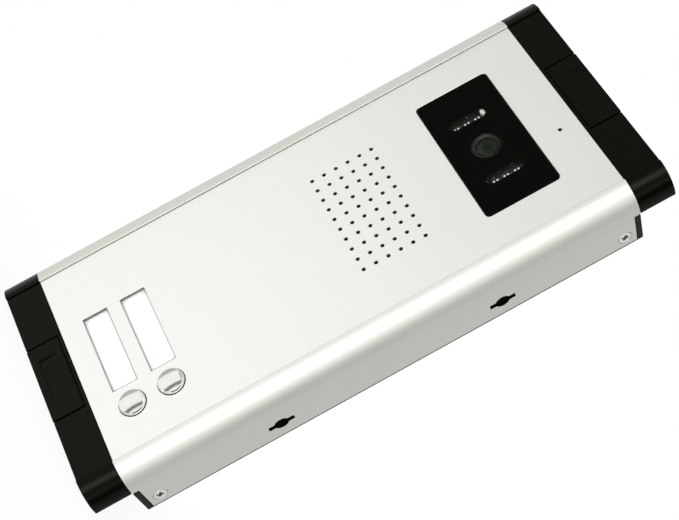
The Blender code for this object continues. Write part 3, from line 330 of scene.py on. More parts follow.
class Finish(Graph):
    """A material with one Principled shader, patterned in the object's own coordinates."""

    def __init__(self, name, **constants):
        self.material = bpy.data.materials.new(name)
        self.material.use_nodes = True
        super().__init__(self.material.node_tree)
        self.shader = self.tree.nodes["Principled BSDF"]
        for title, value in constants.items():
            self.set(title.replace("_", " "), value)
        self.place = self.node("ShaderNodeTexCoord", output="Object")
        self.x, self.z = (self.node("ShaderNodeSeparateXYZ", {}, {0: self.place}, axis) for axis in "XZ")

    def set(self, title, value):
        self.feed(self.shader.inputs[title], value)

    def noise(self, size, stretch=(1.0, 1.0, 1.0), detail=2.0):
        """Noise about 0.5 whose grains have this size, drawn out along each axis by stretch."""
        scale = tuple(1.0 / (size * share) for share in stretch)
        place = self.node("ShaderNodeVectorMath", {"operation": "MULTIPLY"}, {0: self.place, 1: scale})
        return self.node("ShaderNodeTexNoise", {}, {"Vector": place, "Scale": 1.0, "Detail": detail})

    def from_axis(self, centre):
        """Distance from a line along Y."""
        across = self.x - centre.x
        up = self.z - centre.z
        return (across * across + up * up).root()

    def tone(self, colour, spread, share):
        """A colour that varies by a share of itself on both sides."""
        dark = tuple(channel * (1.0 - spread) for channel in colour)
        light = tuple(min(channel * (1.0 + spread), 1.0) for channel in colour)
        return self.mix(share, (*dark, 1.0), (*light, 1.0))

    def bump(self, height, distance):
        self.set("Normal", self.node("ShaderNodeBump", {}, {
            "Strength": 1.0, "Distance": distance, "Height": height}))


class Recipe(Graph):
    """A Geometry Nodes tree with named inputs, the last of which is the material."""

    def __init__(self, name, **inputs):
        super().__init__(bpy.data.node_groups.new(name, "GeometryNodeTree"))
        face = self.tree.interface
        face.new_socket("Geometry", in_out="OUTPUT", socket_type="NodeSocketGeometry")
        self.names = {}
        for title, kind in {**inputs, "Material": "Material"}.items():
            made = face.new_socket(title.replace("_", " "), in_out="INPUT", socket_type=f"NodeSocket{kind}")
            self.names[title] = made.identifier
        self.given = self.node("NodeGroupInput")

    def input(self, title):
        return self.given.of(title.replace("_", " "))

    def close(self, geometry):
        whole = self.node("GeometryNodeRealizeInstances", {}, {"Geometry": geometry})
        dressed = self.node("GeometryNodeSetMaterial", {}, {
            "Geometry": whole, "Material": self.input("Material")})
        self.node("NodeGroupOutput", {}, {"Geometry": dressed})

    def apply(self, obj, **values):
        modifier = obj.modifiers.new(self.tree.name, "NODES")
        modifier.node_group = self.tree
        for title, value in values.items():
            modifier[self.names[title]] = value
        settle(obj)


# Finishes


def satin_metal(name, colour, roughness, grain, streaks=0.0):
    """Blasted and anodised metal, with lengthwise marks of the die where it is an extrusion."""
    finish = Finish(name, Metallic=1.0)
    blasted = finish.noise(grain, detail=3.0)
    cloud = finish.noise(0.03)
    tone = 0.5 + 0.5 * (cloud - 0.5) + 0.3 * (blasted - 0.5)
    if streaks:
        drawn = finish.noise(0.0006, (1.0, 1.0, 200.0), detail=3.0)
        tone = tone + streaks * (drawn - 0.5)
    finish.set("Base Color", finish.tone(colour, 0.04, tone))
    finish.set("Roughness", roughness + 0.10 * (blasted - 0.5) + 0.06 * (cloud - 0.5))
    finish.bump(blasted, 0.000006)
    return finish.material


def polished_metal(name, colour, roughness, scratch=0.05):
    finish = Finish(name, Metallic=1.0)
    haze = finish.noise(0.004)
    scratches = finish.noise(0.0002, (1.0, 1.0, 12.0), detail=4.0)
    finish.set("Base Color", finish.tone(colour, 0.05, haze))
    finish.set("Roughness", roughness + scratch * (scratches - 0.5) + 0.04 * (haze - 0.5))
    finish.bump(scratches, 0.000002)
    return finish.material


def moulded(name, colour, roughness, grain, depth, gloss=0.5, spread=0.25, shine=(1.0, 1.0, 1.0)):
    """Moulded plastic, rubber, foam, paper or ferrite: a grain of its own size and depth."""
    finish = Finish(name, Specular_IOR_Level=gloss, Specular_Tint=(*shine, 1.0))
    sparked = finish.noise(grain, detail=3.0)
    cloud = finish.noise(0.02)
    finish.set("Base Color", finish.tone(colour, spread, 0.6 * cloud + 0.4 * sparked))
    finish.set("Roughness", roughness + 0.16 * (sparked - 0.5) + 0.08 * (cloud - 0.5))
    finish.bump(sparked, depth)
    return finish.material


def printed_pane(name, lens, slots_across, margin, haze, black):
    """One face of a black pane with a clear circle and two clear slots, all widened by a margin."""
    finish = Finish(name, IOR=1.10)
    smudge = finish.noise(0.012)
    straight = (CLEAR_SLOT_LENGTH - CLEAR_SLOT_WIDTH) / 2
    centre = lens + PRINT_PLACE
    from_slot = abs(abs(finish.x - centre.x) - slots_across)
    past_straight = (abs(finish.z - centre.z) - straight).at_least(0.0)
    to_slot = (from_slot * from_slot + past_straight * past_straight).root() - CLEAR_SLOT_WIDTH / 2
    to_clear = to_slot.at_most(finish.from_axis(centre) - CLEAR_RADIUS) - margin
    printed = finish.step(to_clear, -PRINT_EDGE, PRINT_EDGE)
    finish.set("Base Color", finish.mix(printed, CLEAR_TINT, (*black, 1.0)))
    finish.set("Roughness", 0.05 + 0.06 * smudge)
    finish.set("Alpha", haze + (1.0 - haze) * printed)
    return finish.material


def clear_strip():
    finish = Finish("clear acrylic", IOR=1.2)
    haze = finish.noise(0.006)
    finish.set("Base Color", finish.tone((0.85, 0.87, 0.86), 0.05, haze))
    finish.set("Roughness", 0.04 + 0.05 * haze)
    finish.set("Alpha", 0.015 + 0.02 * haze)
    return finish.material


def shaded_sawn_edge():
    """The dull cut edge of a clear strip, whose dark grey is painted shade."""
    finish = Finish("sawn acrylic edge", Specular_IOR_Level=0.2)
    saw = finish.noise(0.0003, (1.0, 6.0, 1.0), detail=3.0)
    finish.set("Base Color", finish.tone((0.10, 0.105, 0.10), 0.4, saw))
    finish.set("Roughness", 0.4 + 0.2 * saw)
    finish.set("Alpha", 0.75 + 0.2 * saw)
    return finish.material


def white_card():
    finish = Finish("white card", Specular_IOR_Level=0.3)
    fibres = finish.noise(0.0004, (3.0, 1.0, 1.0), detail=4.0)
    finish.set("Base Color", finish.tone((0.95, 0.95, 0.95), 0.02, fibres))
    finish.set("Roughness", 0.6 + 0.2 * (fibres - 0.5))
    finish.bump(fibres, 0.00001)
    return finish.material


def circuit_board(name, mask, trace):
    """Solder mask over traces, with tinned pads."""
    finish = Finish(name)
    run = finish.noise(TRACE_PATCH, detail=0.0) > 0.5
    upright, level = ((place % TRACE_PITCH) < TRACE_WIDTH for place in (finish.x, finish.z))
    lines = run * upright + (1 - run) * level
    spots = finish.node("ShaderNodeTexVoronoi", {}, {"Vector": finish.place, "Scale": PAD_DENSITY})
    pads = spots < PAD_REACH
    weave = finish.noise(0.0008, detail=3.0)
    coloured = finish.mix(lines * (1 - pads), (*mask, 1.0), (*trace, 1.0))
    finish.set("Base Color", finish.mix(pads, coloured, PAD_TIN))
    finish.set("Metallic", pads * 0.9)
    finish.set("Roughness", 0.35 + 0.2 * (weave - 0.5) + 0.1 * pads)
    finish.bump(lines + pads, 0.00003)
    return finish.material


def coated_glass(lens):
    """Dark lens, a little lighter and less green towards its rim."""
    finish = Finish("coated glass", Specular_IOR_Level=0.09, Coat_Weight=0.05, Coat_Roughness=0.08)
    out = finish.step(finish.from_axis(lens), COATING_START, COATING_END)
    dust = finish.noise(0.0005)
    finish.set("Base Color", finish.mix(out, (0.003, 0.006, 0.002, 1.0), (0.009, 0.012, 0.008, 1.0)))
    finish.set("Roughness", 0.10 + 0.05 * dust)
    return finish.material


# Outlines


def arc(centre_across, centre_up, radius, start, end, steps):
    points = []
    for step in range(steps + 1):
        angle = start + (end - start) * step / steps
        points.append((centre_across + radius * math.cos(angle), centre_up + radius * math.sin(angle)))
    return points


def circle(radius, across, up, sides):
    return arc(across, up, radius, 0.0, 2 * math.pi, sides)[:-1]


def rectangle(low, high):
    return [(low[0], low[1]), (high[0], low[1]), (high[0], high[1]), (low[0], high[1])]


def rounded_rectangle(low, high, radius):
    outline = []
    corners = ((high[0], high[1], -1, -1), (low[0], high[1], 1, -1),
               (low[0], low[1], 1, 1), (high[0], low[1], -1, 1))
    for turn, (across, up, inwards, upwards) in enumerate(corners):
        start = turn * math.pi / 2
        outline += arc(across + inwards * radius, up + upwards * radius, radius,
                       start, start + math.pi / 2, EDGE_STEPS)
    return outline


def seen_from_front(node, gap=0.0):
    """The low and high (x, z) corners of a node, widened by a gap."""
    low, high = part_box(node)
    return (low.x - gap, low.z - gap), (high.x + gap, high.z + gap)


def grown(outline, amount):
    """An outline, given anticlockwise, with every side pushed outwards by an amount."""
    count = len(outline)
    points = []
    for number in range(count):
        before, here, after = (Vector(outline[(number + shift) % count]) for shift in (-1, 0, 1))
        first = (here - before).normalized()
        second = (after - here).normalized()
        normals = Vector((first.y, -first.x)) + Vector((second.y, -second.x))
        reach = amount / max(normals.length_squared / 2, MITRE_LIMIT)
        points.append(tuple(here + normals * reach))
    return points


# Meshes


def middle(node):
    low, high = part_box(node)
    return (low + high) / 2


def add_prism(bm, outline, axis, rings):
    """Adds an outline carried along an axis through rings of (place, growth), closed at both ends."""
    along = "XYZ".index(axis)
    first, second = (number for number in range(3) if number != along)
    loops = []
    for place, growth in rings:
        loop = []
        for point in grown(outline, growth):
            corner = Vector()
            corner[first], corner[second] = point
            corner[along] = place
            loop.append(bm.verts.new(corner))
        loops.append(loop)
    join_rings(bm, loops)
    bm.faces.new(loops[0])
    bm.faces.new(loops[-1])


def join_rings(bm, loops, closed=False):
    """Joins loops of vertices, where a loop of one vertex is a pole."""
    pairs = list(zip(loops, loops[1:]))
    if closed:
        pairs.append((loops[-1], loops[0]))
    for low, high in pairs:
        count = max(len(low), len(high))
        for number in range(count):
            following = (number + 1) % count
            corners = [low[number % len(low)], low[following % len(low)],
                       high[following % len(high)], high[number % len(high)]]
            bm.faces.new(list(dict.fromkeys(corners)))


def add_turned(bm, profile, centre, sides=ROUND):
    """Adds (radius, y) points turned about a line along Y through a centre: solid, or else a ring."""
    loops = []
    for radius, along in profile:
        ring = circle(radius, centre.x, centre.z, sides) if radius > 0.0 else [(centre.x, centre.z)]
        loops.append([bm.verts.new((across, along, up)) for across, up in ring])
    join_rings(bm, loops, closed=profile[0][0] > 0.0)


def rounded_ends(start, end, radius):
    """Rings of a prism whose two ends have rounded edges."""
    way = math.copysign(1.0, end - start)
    bend = [(1 - math.cos(angle), math.sin(angle) - 1)
            for angle in (math.pi / 2 * step / EDGE_STEPS for step in range(EDGE_STEPS + 1))]
    near = [(start + way * radius * inwards, radius * growth) for inwards, growth in bend]
    far = [(end - way * radius * inwards, radius * growth) for inwards, growth in reversed(bend)]
    return near + far


def shape(name, bm):
    """A bmesh as a new object, with its faces pointing outwards."""
    bmesh.ops.recalc_face_normals(bm, faces=bm.faces)
    mesh = bpy.data.meshes.new(name)
    bm.to_mesh(mesh)
    bm.free()
    obj = bpy.data.objects.new(name, mesh)
    bpy.context.scene.collection.objects.link(obj)
    return obj


def settle(obj):
    """Turns what the modifiers give into the object's plain mesh."""
    evaluated = obj.evaluated_get(bpy.context.evaluated_depsgraph_get())
    mesh = bpy.data.meshes.new_from_object(evaluated)
    obj.modifiers.clear()
    obj.data = mesh


def cut(obj, cutter):
    modifier = obj.modifiers.new("cut", "BOOLEAN")
    modifier.operation = "DIFFERENCE"
    modifier.solver = "EXACT"
    modifier.object = cutter
    settle(obj)
    bpy.data.objects.remove(cutter)


def softened(node, edge):
    """A copy of a CAD shape, kept in its box, with rounded edges, the front lips by their own radius."""
    bm = bmesh.new()
    bm.from_mesh(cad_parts[node].data)
    bmesh.ops.remove_doubles(bm, verts=bm.verts, dist=MERGE_DISTANCE)
    bmesh.ops.dissolve_limit(bm, angle_limit=FLAT_ANGLE, verts=bm.verts, edges=bm.edges)
    lips = [item for item in sharp_edges(bm) if item.calc_length() > LIP_LENGTH
            and all(corner.co.y < LIP_LEVEL for corner in item.verts)]
    round_edges(bm, lips, LIP_EDGE)
    long = [item for item in sharp_edges(bm) if item.calc_length() > LONG_EDGE
            and all(other.calc_length() > SHORT_EDGE for corner in item.verts for other in corner.link_edges)]
    round_edges(bm, long, edge)
    round_edges(bm, sharp_edges(bm), FINE_EDGE)
    low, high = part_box(node)
    for corner in bm.verts:
        corner.co = [min(max(place, first), last) for place, first, last in zip(corner.co, low, high)]
    return bm


def sharp_edges(bm):
    return [item for item in bm.edges if len(item.link_faces) == 2 and item.calc_face_angle() > SHARP_ANGLE]


def round_edges(bm, edges, radius):
    bmesh.ops.bevel(bm, geom=edges, offset=radius, offset_type="OFFSET", segments=EDGE_STEPS, profile=0.5,
                    affect="EDGES", clamp_overlap=True)


def dress(obj, finishes, replaced=(), body="station", choose=None):
    """Smooths a finished shape, gives it its materials and ties it to the frame."""
    obj.data.shade_smooth()
    obj.data.set_sharp_from_angle(angle=SMOOTH_ANGLE)
    weights = obj.modifiers.new("weights", "WEIGHTED_NORMAL")
    weights.keep_sharp = True
    settle(obj)
    obj.data.materials.clear()
    for finish in finishes:
        obj.data.materials.append(finish)
    for face in obj.data.polygons:
        face.material_index = choose(face) if choose else 0
    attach(obj, body)
    if replaced:
        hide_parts(*replaced)


# Recipes for what repeats or follows a path


def copies_recipe():
    """Copies of the object's own mesh on a grid in X and Z, rolled about Y and turned to face outwards."""
    recipe = Recipe("copies on a grid", Shape="Geometry", Columns="Int", Rows="Int", Pitch_Across="Float",
                    Pitch_Up="Float", Centre="Vector", Roll="Float", Outward_Turn="Float", Seed="Int")
    columns = recipe.input("Columns")
    rows = recipe.input("Rows")
    grid = recipe.node("GeometryNodeMeshGrid", {}, {
        "Size X": recipe.input("Pitch_Across") * (columns - 1), "Vertices X": columns,
        "Size Y": recipe.input("Pitch_Up") * (rows - 1), "Vertices Y": rows})
    upright = recipe.node("GeometryNodeTransform", {}, {
        "Geometry": grid, "Rotation": (math.pi / 2, 0.0, 0.0), "Translation": recipe.input("Centre")})
    side = recipe.node("ShaderNodeSeparateXYZ", {}, {0: recipe.node("GeometryNodeInputPosition")}).sign()
    roll = recipe.node("FunctionNodeRandomValue", {"data_type": "FLOAT"},
                       {2: 0.0, 3: recipe.input("Roll"), "Seed": recipe.input("Seed")}, 1)
    turn = recipe.node("ShaderNodeCombineXYZ", {}, {"Y": roll, "Z": side * recipe.input("Outward_Turn")})
    copies = recipe.node("GeometryNodeInstanceOnPoints", {}, {
        "Points": upright, "Instance": recipe.input("Shape"),
        "Rotation": recipe.node("FunctionNodeEulerToRotation", {}, {0: turn})})
    recipe.close(copies)
    return recipe


def spring_recipe():
    """An open coil of round wire along Y, from a start point."""
    recipe = Recipe("coil spring", Radius="Float", Wire="Float", Length="Float", Turns="Float",
                    Start="Vector")
    coil = recipe.node("GeometryNodeCurveSpiral", {}, {
        "Resolution": COIL_STEPS, "Rotations": recipe.input("Turns"), "Height": recipe.input("Length"),
        "Start Radius": recipe.input("Radius"), "End Radius": recipe.input("Radius")})
    section = recipe.node("GeometryNodeCurvePrimitiveCircle", {}, {
        "Resolution": WIRE_SIDES, "Radius": recipe.input("Wire") * 0.5})
    wire = recipe.node("GeometryNodeCurveToMesh", {}, {
        "Curve": coil, "Profile Curve": section, "Fill Caps": True})
    laid = recipe.node("GeometryNodeTransform", {}, {
        "Geometry": wire, "Rotation": (-math.pi / 2, 0.0, 0.0), "Translation": recipe.input("Start")})
    recipe.close(laid)
    return recipe


# Housing, caps and panel


def make_housing(aluminium, black):
    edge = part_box("housing")[1].x

    # The walls of the slotted holes take the black plastic as painted shade.
    def in_shaded_slot_wall(face):
        reach = math.hypot(face.center.y + SLOT_FROM_WALL, abs(face.center.z) - SLOT_FROM_MIDDLE)
        in_wall = abs(face.center.x) > edge - SLOT_DEPTH
        return int(in_wall and abs(face.normal.x) < FLAT_FACE and reach < SLOT_REACH)

    extrusion = shape("housing_extrusion", softened("housing", HOUSING_EDGE))
    for end in (-1, 1):
        level = end * SLOT_FROM_MIDDLE
        arms = rectangle((-SLOT_FROM_WALL - SLOT_ARM, level - SLOT_END),
                         (-SLOT_FROM_WALL + SLOT_ARM, level + SLOT_END))
        for outline in (arms, circle(SLOT_HOLE, -SLOT_FROM_WALL, level, ROUND)):
            bm = bmesh.new()
            add_prism(bm, outline, "X", [(-edge - CUT_PAST, 0.0), (edge + CUT_PAST, 0.0)])
            cut(extrusion, shape("cutter", bm))
    dress(extrusion, [aluminium, black], ["housing"], choose=in_shaded_slot_wall)


def chamfered_cut(outline, face, back, chamfer):
    """A cutter through a plate, wider by a chamfer at the front face."""
    bm = bmesh.new()
    add_prism(bm, outline, "Y", [(face - CUT_PAST, chamfer), (face, chamfer), (face + chamfer, 0.0),
                                 (back + CUT_PAST, 0.0)])
    return shape("cutter", bm)


def make_panel(copies, aluminium):
    low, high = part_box("front_panel")
    bm = bmesh.new()
    add_prism(bm, rectangle((low.x - PANEL_REACH, low.z), (high.x + PANEL_REACH, high.z)), "Y",
              [(low.y, -PANEL_CHAMFER), (low.y + PANEL_CHAMFER, 0.0), (high.y, 0.0)])
    plate = shape("panel_plate", bm)
    window = rounded_rectangle(*seen_from_front("camera_window", OPENING_GAP), WINDOW_CORNER)
    microphone = middle("microphone_capsule")
    openings = [window, circle(HOLE_RADIUS, microphone.x, microphone.z, SMALL_ROUND)]
    for row in ROWS:
        button = middle(f"{row}_call_button")
        openings.append(rectangle(*seen_from_front(f"{row}_name_window", OPENING_GAP)))
        openings.append(circle(BUTTON_RADIUS + OPENING_GAP, button.x, button.z, ROUND))
    for outline in openings:
        cut(plate, chamfered_cut(outline, low.y, high.y, PANEL_CHAMFER))
    hole = chamfered_cut(circle(HOLE_RADIUS, 0.0, 0.0, SMALL_ROUND), 0.0, high.y - low.y, HOLE_CHAMFER)
    speaker = middle("speaker_cone")
    copies.apply(hole, Columns=GRILLE_COLUMNS, Rows=GRILLE_ROWS, Pitch_Across=GRILLE_PITCH,
                 Pitch_Up=GRILLE_PITCH, Centre=(speaker.x, low.y, speaker.z), Roll=0.0, Outward_Turn=0.0,
                 Seed=0, Material=aluminium)
    cut(plate, hole)
    dress(plate, [aluminium], ["front_panel"])


def make_ends(plastic):
    for end, way in (("top", 1), ("bottom", -1)):
        dress(shape(f"{end}_moulded_end", softened(f"{end}_end_cap", CAP_EDGE)), [plastic],
              [f"{end}_end_cap"])
        node = f"{end}_screw_cover"
        plate = softened(node, COVER_EDGE)
        low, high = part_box(node)
        bmesh.ops.scale(plate, vec=(1.0 - COVER_SEAM / high.x, 1.0, 1.0), verts=plate.verts)
        cover = shape(f"{end}_cover_plate", plate)
        cut(cover, finger_recess(low.y, high.z if way > 0 else low.z, way))
        dress(cover, [plastic], [node], f"{end}_cover")


def finger_recess(level, outer, way):
    """A cutter for a recess near a cover's outer end, which fades from one corner to the opposite one.

    Both covers are the same moulding, one of them turned round.
    """
    side = way * RECESS_WIDTH / 2
    top = outer - way * RECESS_FROM_EDGE
    inner = top - way * RECESS_HEIGHT
    bm = bmesh.new()
    corners = rectangle((side, top), (-side, inner))
    mouth = [bm.verts.new((across, level - RECESS_DEPTH, up)) for across, up in corners]
    bottom = []
    for across, up in corners:
        share = abs(across - side) / RECESS_WIDTH + abs(up - top) / RECESS_HEIGHT
        depth = RECESS_DEPTH * (1.0 - RECESS_FADE * share)
        bottom.append(bm.verts.new((across, level + depth, up)))
    join_rings(bm, [mouth, bottom])
    bm.faces.new(mouth)
    bm.faces.new(bottom)
    return shape("cutter", bm)


def make_back(plastic, rubber):
    dress(shape("back_cover", softened("back_plate", BACK_EDGE)), [plastic], ["back_plate"])
    bush = shape("cable_bush", softened("cable_grommet", GROMMET_EDGE))
    dress(bush, [rubber], ["cable_grommet"])


def cross_head_screw(head, shank, length):
    """A countersunk screw just below the origin, facing +Y, with a thread and a cross recess."""
    cone_end = HEAD_RIM + head - shank
    shares = [step / CROWN_STEPS for step in range(CROWN_STEPS + 1)]
    crown = [(head * share * CROWN_REACH, -SCREW_SINK * share * share) for share in shares]
    rim = head - SCREW_SINK
    profile = crown + [(rim, -SCREW_SINK - HEAD_RIM / 2), (rim, -SCREW_SINK - HEAD_RIM),
                       (shank - THREAD_DEPTH, -cone_end)]
    along = cone_end + THREAD_PITCH / 2
    while along + THREAD_PITCH < length:
        profile += [(shank, -along), (shank - THREAD_DEPTH, -along - THREAD_PITCH / 2)]
        along += THREAD_PITCH
    profile += [(shank - 2 * THREAD_DEPTH, -length), (0.0, -length)]
    bm = bmesh.new()
    add_turned(bm, profile, Vector(), SMALL_ROUND)
    screw = shape("cross_head_screw", bm)
    arm = head * RECESS_ARM
    half = head * ARM_WIDTH
    cross = [(arm, -half), (arm, half), (half, half), (half, arm), (-half, arm), (-half, half), (-arm, half),
             (-arm, -half), (-half, -half), (-half, -arm), (half, -arm), (half, -half)]
    recess = bmesh.new()
    depth = head * SCREW_RECESS_DEPTH
    add_prism(recess, cross, "Y", [(-depth, -half / 2), (HEAD_RIM, half / 4)])
    cut(screw, shape("cutter", recess))
    return screw


def recess_test(outer, way, head):
    """Picks the faces inside a cross recess, given the head's middle in X > 0, Z > 0 and its way out."""
    def inside(face):
        spot = Vector((abs(face.center.x), face.center.y, abs(face.center.z))) - outer
        depth = -spot.dot(way)
        beside = (spot + way * depth).length
        deepest = head * SCREW_RECESS_DEPTH * RECESS_MARGIN
        widest = head * RECESS_ARM * RECESS_MARGIN
        return int(SCREW_SINK < depth < deepest and beside < widest)
    return inside


def make_screws(copies, steel, painted_recess_shade):
    for place, turn, shank_share in (("side", -math.pi / 2, SIDE_SHANK), ("back", 0.0, BACK_SHANK)):
        nodes = [f"{end}_{side}_{place}_screw" for end in ("lower", "upper") for side in ("left", "right")]
        low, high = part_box(nodes[-1])
        size = high - low
        head = size.z / 2
        length = size.x if place == "side" else size.y
        outer = Vector((high.x if place == "side" else (low.x + high.x) / 2,
                        (low.y + high.y) / 2 if place == "side" else high.y, (low.z + high.z) / 2))
        screw = cross_head_screw(head, head * shank_share, length)
        screw.name = f"{place}_screws"
        copies.apply(screw, Columns=2, Rows=2, Pitch_Across=2 * outer.x, Pitch_Up=2 * outer.z,
                     Centre=(0.0, outer.y, 0.0), Roll=SCREW_ROLL, Outward_Turn=turn, Seed=SCREW_SEED,
                     Material=steel)
        way = Vector((1.0, 0.0, 0.0)) if place == "side" else Vector((0.0, 1.0, 0.0))
        # Faces inside the cross recesses take a dark finish that is painted shade.
        dress(screw, [steel, painted_recess_shade], nodes, choose=recess_test(outer, way, head))


# Camera window


def make_window(lens):
    low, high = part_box("camera_window")
    bm = bmesh.new()
    add_prism(bm, rounded_rectangle((low.x, low.z), (high.x, high.z), WINDOW_CORNER), "Y",
              rounded_ends(low.y, high.y, PANE_EDGE))
    slots = middle("right_led_row").x
    back = printed_pane("printed pane back", lens, slots, 0.0, CLEAR_HAZE, LIGHTENED_BACK_PRINT)
    front = printed_pane("printed pane front", lens, slots, FRONT_MARGIN, 0.0, FRONT_PRINT)
    dress(shape("camera_pane", bm), [back, front], ["camera_window"],
          choose=lambda face: int(face.normal.y < -FLAT_FACE))


def make_leds(copies, board, package, pins):
    for side in ("left", "right"):
        node = f"{side}_led_row"
        low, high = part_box(node)
        strip_front = high.y - STRIP_THICKNESS
        bm = bmesh.new()
        add_prism(bm, rounded_rectangle((low.x, low.z), (high.x, high.z), LED_EDGE), "Y",
                  rounded_ends(strip_front, high.y, LED_EDGE / 2))
        dress(shape(f"{side}_led_strip", bm), [board], [node])
        centre = ((low.x + high.x) / 2, strip_front, (low.z + high.z) / 2)
        grid = {"Columns": 1, "Rows": LED_COUNT, "Pitch_Across": 0.0, "Pitch_Up": LED_PITCH, "Roll": 0.0,
                "Outward_Turn": 0.0, "Seed": 0, "Centre": centre}
        bodies = shape(f"{side}_led_bodies", led_body())
        copies.apply(bodies, Material=package, **grid)
        dress(bodies, [package])
        clips = shape(f"{side}_led_pins", led_pins())
        copies.apply(clips, Material=pins, **grid)
        dress(clips, [pins])


def led_body():
    """One package on the plane Y = 0, facing -Y."""
    bm = bmesh.new()
    half = Vector((LED_WIDTH / 2, LED_LENGTH / 2))
    add_prism(bm, rounded_rectangle(-half, half, LED_EDGE), "Y", rounded_ends(0.0, -LED_HEIGHT, LED_EDGE / 2))
    return bm


def led_pins():
    """Two bent pins, each up the right side of the package and over its edge."""
    bm = bmesh.new()
    foot = LED_WIDTH / 2 + LED_PIN_OVER / 2
    inner = LED_WIDTH / 2 - LED_PIN_OVER
    outer = LED_WIDTH / 2 + LED_PIN_THICKNESS
    top = -LED_HEIGHT - LED_PIN_THICKNESS
    outline = [(foot, 0.0), (foot, -LED_PIN_THICKNESS), (outer, -LED_PIN_THICKNESS), (outer, top),
               (inner, top), (inner, -LED_HEIGHT), (LED_WIDTH / 2, -LED_HEIGHT), (LED_WIDTH / 2, 0.0)]
    for place in (-1, 1):
        start = place * LED_PIN_FROM_MIDDLE - LED_PIN_WIDTH / 2
        add_prism(bm, outline, "Z", [(start, 0.0), (start + LED_PIN_WIDTH, 0.0)])
    return bm


def make_sensor(plastic):
    low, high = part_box("light_sensor")
    radius = (high.x - low.x) / 2
    edge = arc(radius - SENSOR_EDGE, low.y + SENSOR_EDGE, SENSOR_EDGE, -math.pi / 2, 0.0, EDGE_STEPS)
    bm = bmesh.new()
    add_turned(bm, [(0.0, low.y)] + edge + [(radius, high.y), (0.0, high.y)], middle("light_sensor"))
    dress(shape("sensor_cell", bm), [plastic], ["light_sensor"])


def make_lens(lens, plastic):
    """A barrel with a funnel down to its front glass, which lies a little below the rim."""
    glass_low, glass_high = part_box("lens_glass")
    glass_radius = (glass_high.x - glass_low.x) / 2
    apex = glass_low.y + LENS_SINK
    rim = apex + LENS_GLASS_RISE
    low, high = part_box("lens_barrel")
    head = (high.x - low.x) / 2
    neck = head - LENS_NECK_STEP
    seat = glass_high.y + LENS_SEAT
    head_back = high.y - LENS_NECK_LENGTH
    bore = glass_radius + LENS_SEAT
    profile = [(bore, seat), (bore, rim), (bore + LENS_FUNNEL, low.y), (head - LENS_EDGE, low.y),
               (head, low.y + LENS_EDGE), (head, head_back), (neck, head_back), (neck, high.y),
               (LENS_BORE_RADIUS, high.y)]
    along = high.y - LENS_THREAD_PITCH / 2
    while along - LENS_THREAD_PITCH > seat:
        groove = along - LENS_THREAD_PITCH / 2
        profile += [(LENS_BORE_RADIUS, along), (LENS_BORE_RADIUS + LENS_THREAD_DEPTH, groove)]
        along -= LENS_THREAD_PITCH
    profile.append((LENS_BORE_RADIUS, seat))
    bm = bmesh.new()
    add_turned(bm, profile, lens)
    dress(shape("lens_head", bm), [plastic], ["lens_barrel"])

    dome = [(glass_radius * math.sin(angle), apex + LENS_GLASS_RISE * (1 - math.cos(angle)))
            for angle in (math.pi / 2 * step / LENS_STEPS for step in range(LENS_STEPS + 1))]
    bm = bmesh.new()
    add_turned(bm, dome + [(glass_radius, glass_high.y), (0.0, glass_high.y)], lens)
    dress(shape("lens_front_glass", bm), [coated_glass(lens)], ["lens_glass"])


# Names and buttons


def make_name_strips(clear, sawn_edge_shade):
    for row in ROWS:
        node = f"{row}_name_window"
        low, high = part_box(node)
        bm = bmesh.new()
        add_prism(bm, rounded_rectangle((low.x, low.z), (high.x, high.z), PANE_EDGE), "Y",
                  rounded_ends(low.y, high.y, PANE_EDGE / 2))
        dress(shape(f"{row}_name_strip", bm), [clear, sawn_edge_shade], [node],
              choose=lambda face: int(abs(face.normal.y) < EDGE_FACE))


def make_buttons(side, top):
    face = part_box("front_panel")[0].y
    for row in ROWS:
        node = f"{row}_call_button"
        low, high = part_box(node)
        flange = (high.x - low.x) / 2
        flange_back = high.y - BUTTON_STEM_LENGTH
        flat = BUTTON_RADIUS - sum(bend * (math.sin(end) - math.sin(start))
                                   for bend, start, end in BUTTON_BENDS)
        shares = [step / BUTTON_STEPS for step in range(BUTTON_STEPS)]
        crown = [(flat * share, low.y + BUTTON_CROWN * share * share) for share in shares]
        edge = [(flat, low.y + BUTTON_CROWN)]
        for bend, start, end in BUTTON_BENDS:
            radius, level = edge[-1]
            edge += arc(radius - bend * math.sin(start), level + bend * math.cos(start), bend,
                        start - math.pi / 2, end - math.pi / 2, BUTTON_STEPS)[1:]
        flange_front = flange_back - BUTTON_FLANGE_THICKNESS
        foot = [(BUTTON_RADIUS, flange_front), (flange, flange_front), (flange, flange_back),
                (BUTTON_STEM_RADIUS, flange_back), (BUTTON_STEM_RADIUS, high.y), (0.0, high.y)]
        bm = bmesh.new()
        add_turned(bm, crown + edge + foot, middle(node))
        dress(shape(f"{row}_button_cap", bm), [side, top], [node], f"{row}_button",
              lambda part: int(part.normal.y < -TOP_FACE and part.center.y < face))


def make_springs(recipe, steel):
    for row in ROWS:
        node = f"{row}_button_spring"
        low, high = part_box(node)
        centre = middle(node)
        length = high.y - low.y
        spring = shape(f"{row}_return_spring", bmesh.new())
        recipe.apply(spring, Radius=(high.x - low.x - SPRING_WIRE) / 2, Wire=SPRING_WIRE,
                     Length=length - SPRING_WIRE, Turns=SPRING_TURNS,
                     Start=(centre.x, low.y + SPRING_WIRE / 2, centre.z), Material=steel)
        dress(spring, [steel], [node])
        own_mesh(spring)


def finish_inner_nodes(finishes):
    """The CAD shapes that stay as they are get the looks of their materials."""
    for finish, nodes in finishes:
        for node in nodes:
            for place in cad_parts[node].material_slots:
                place.material = finish


# Stage


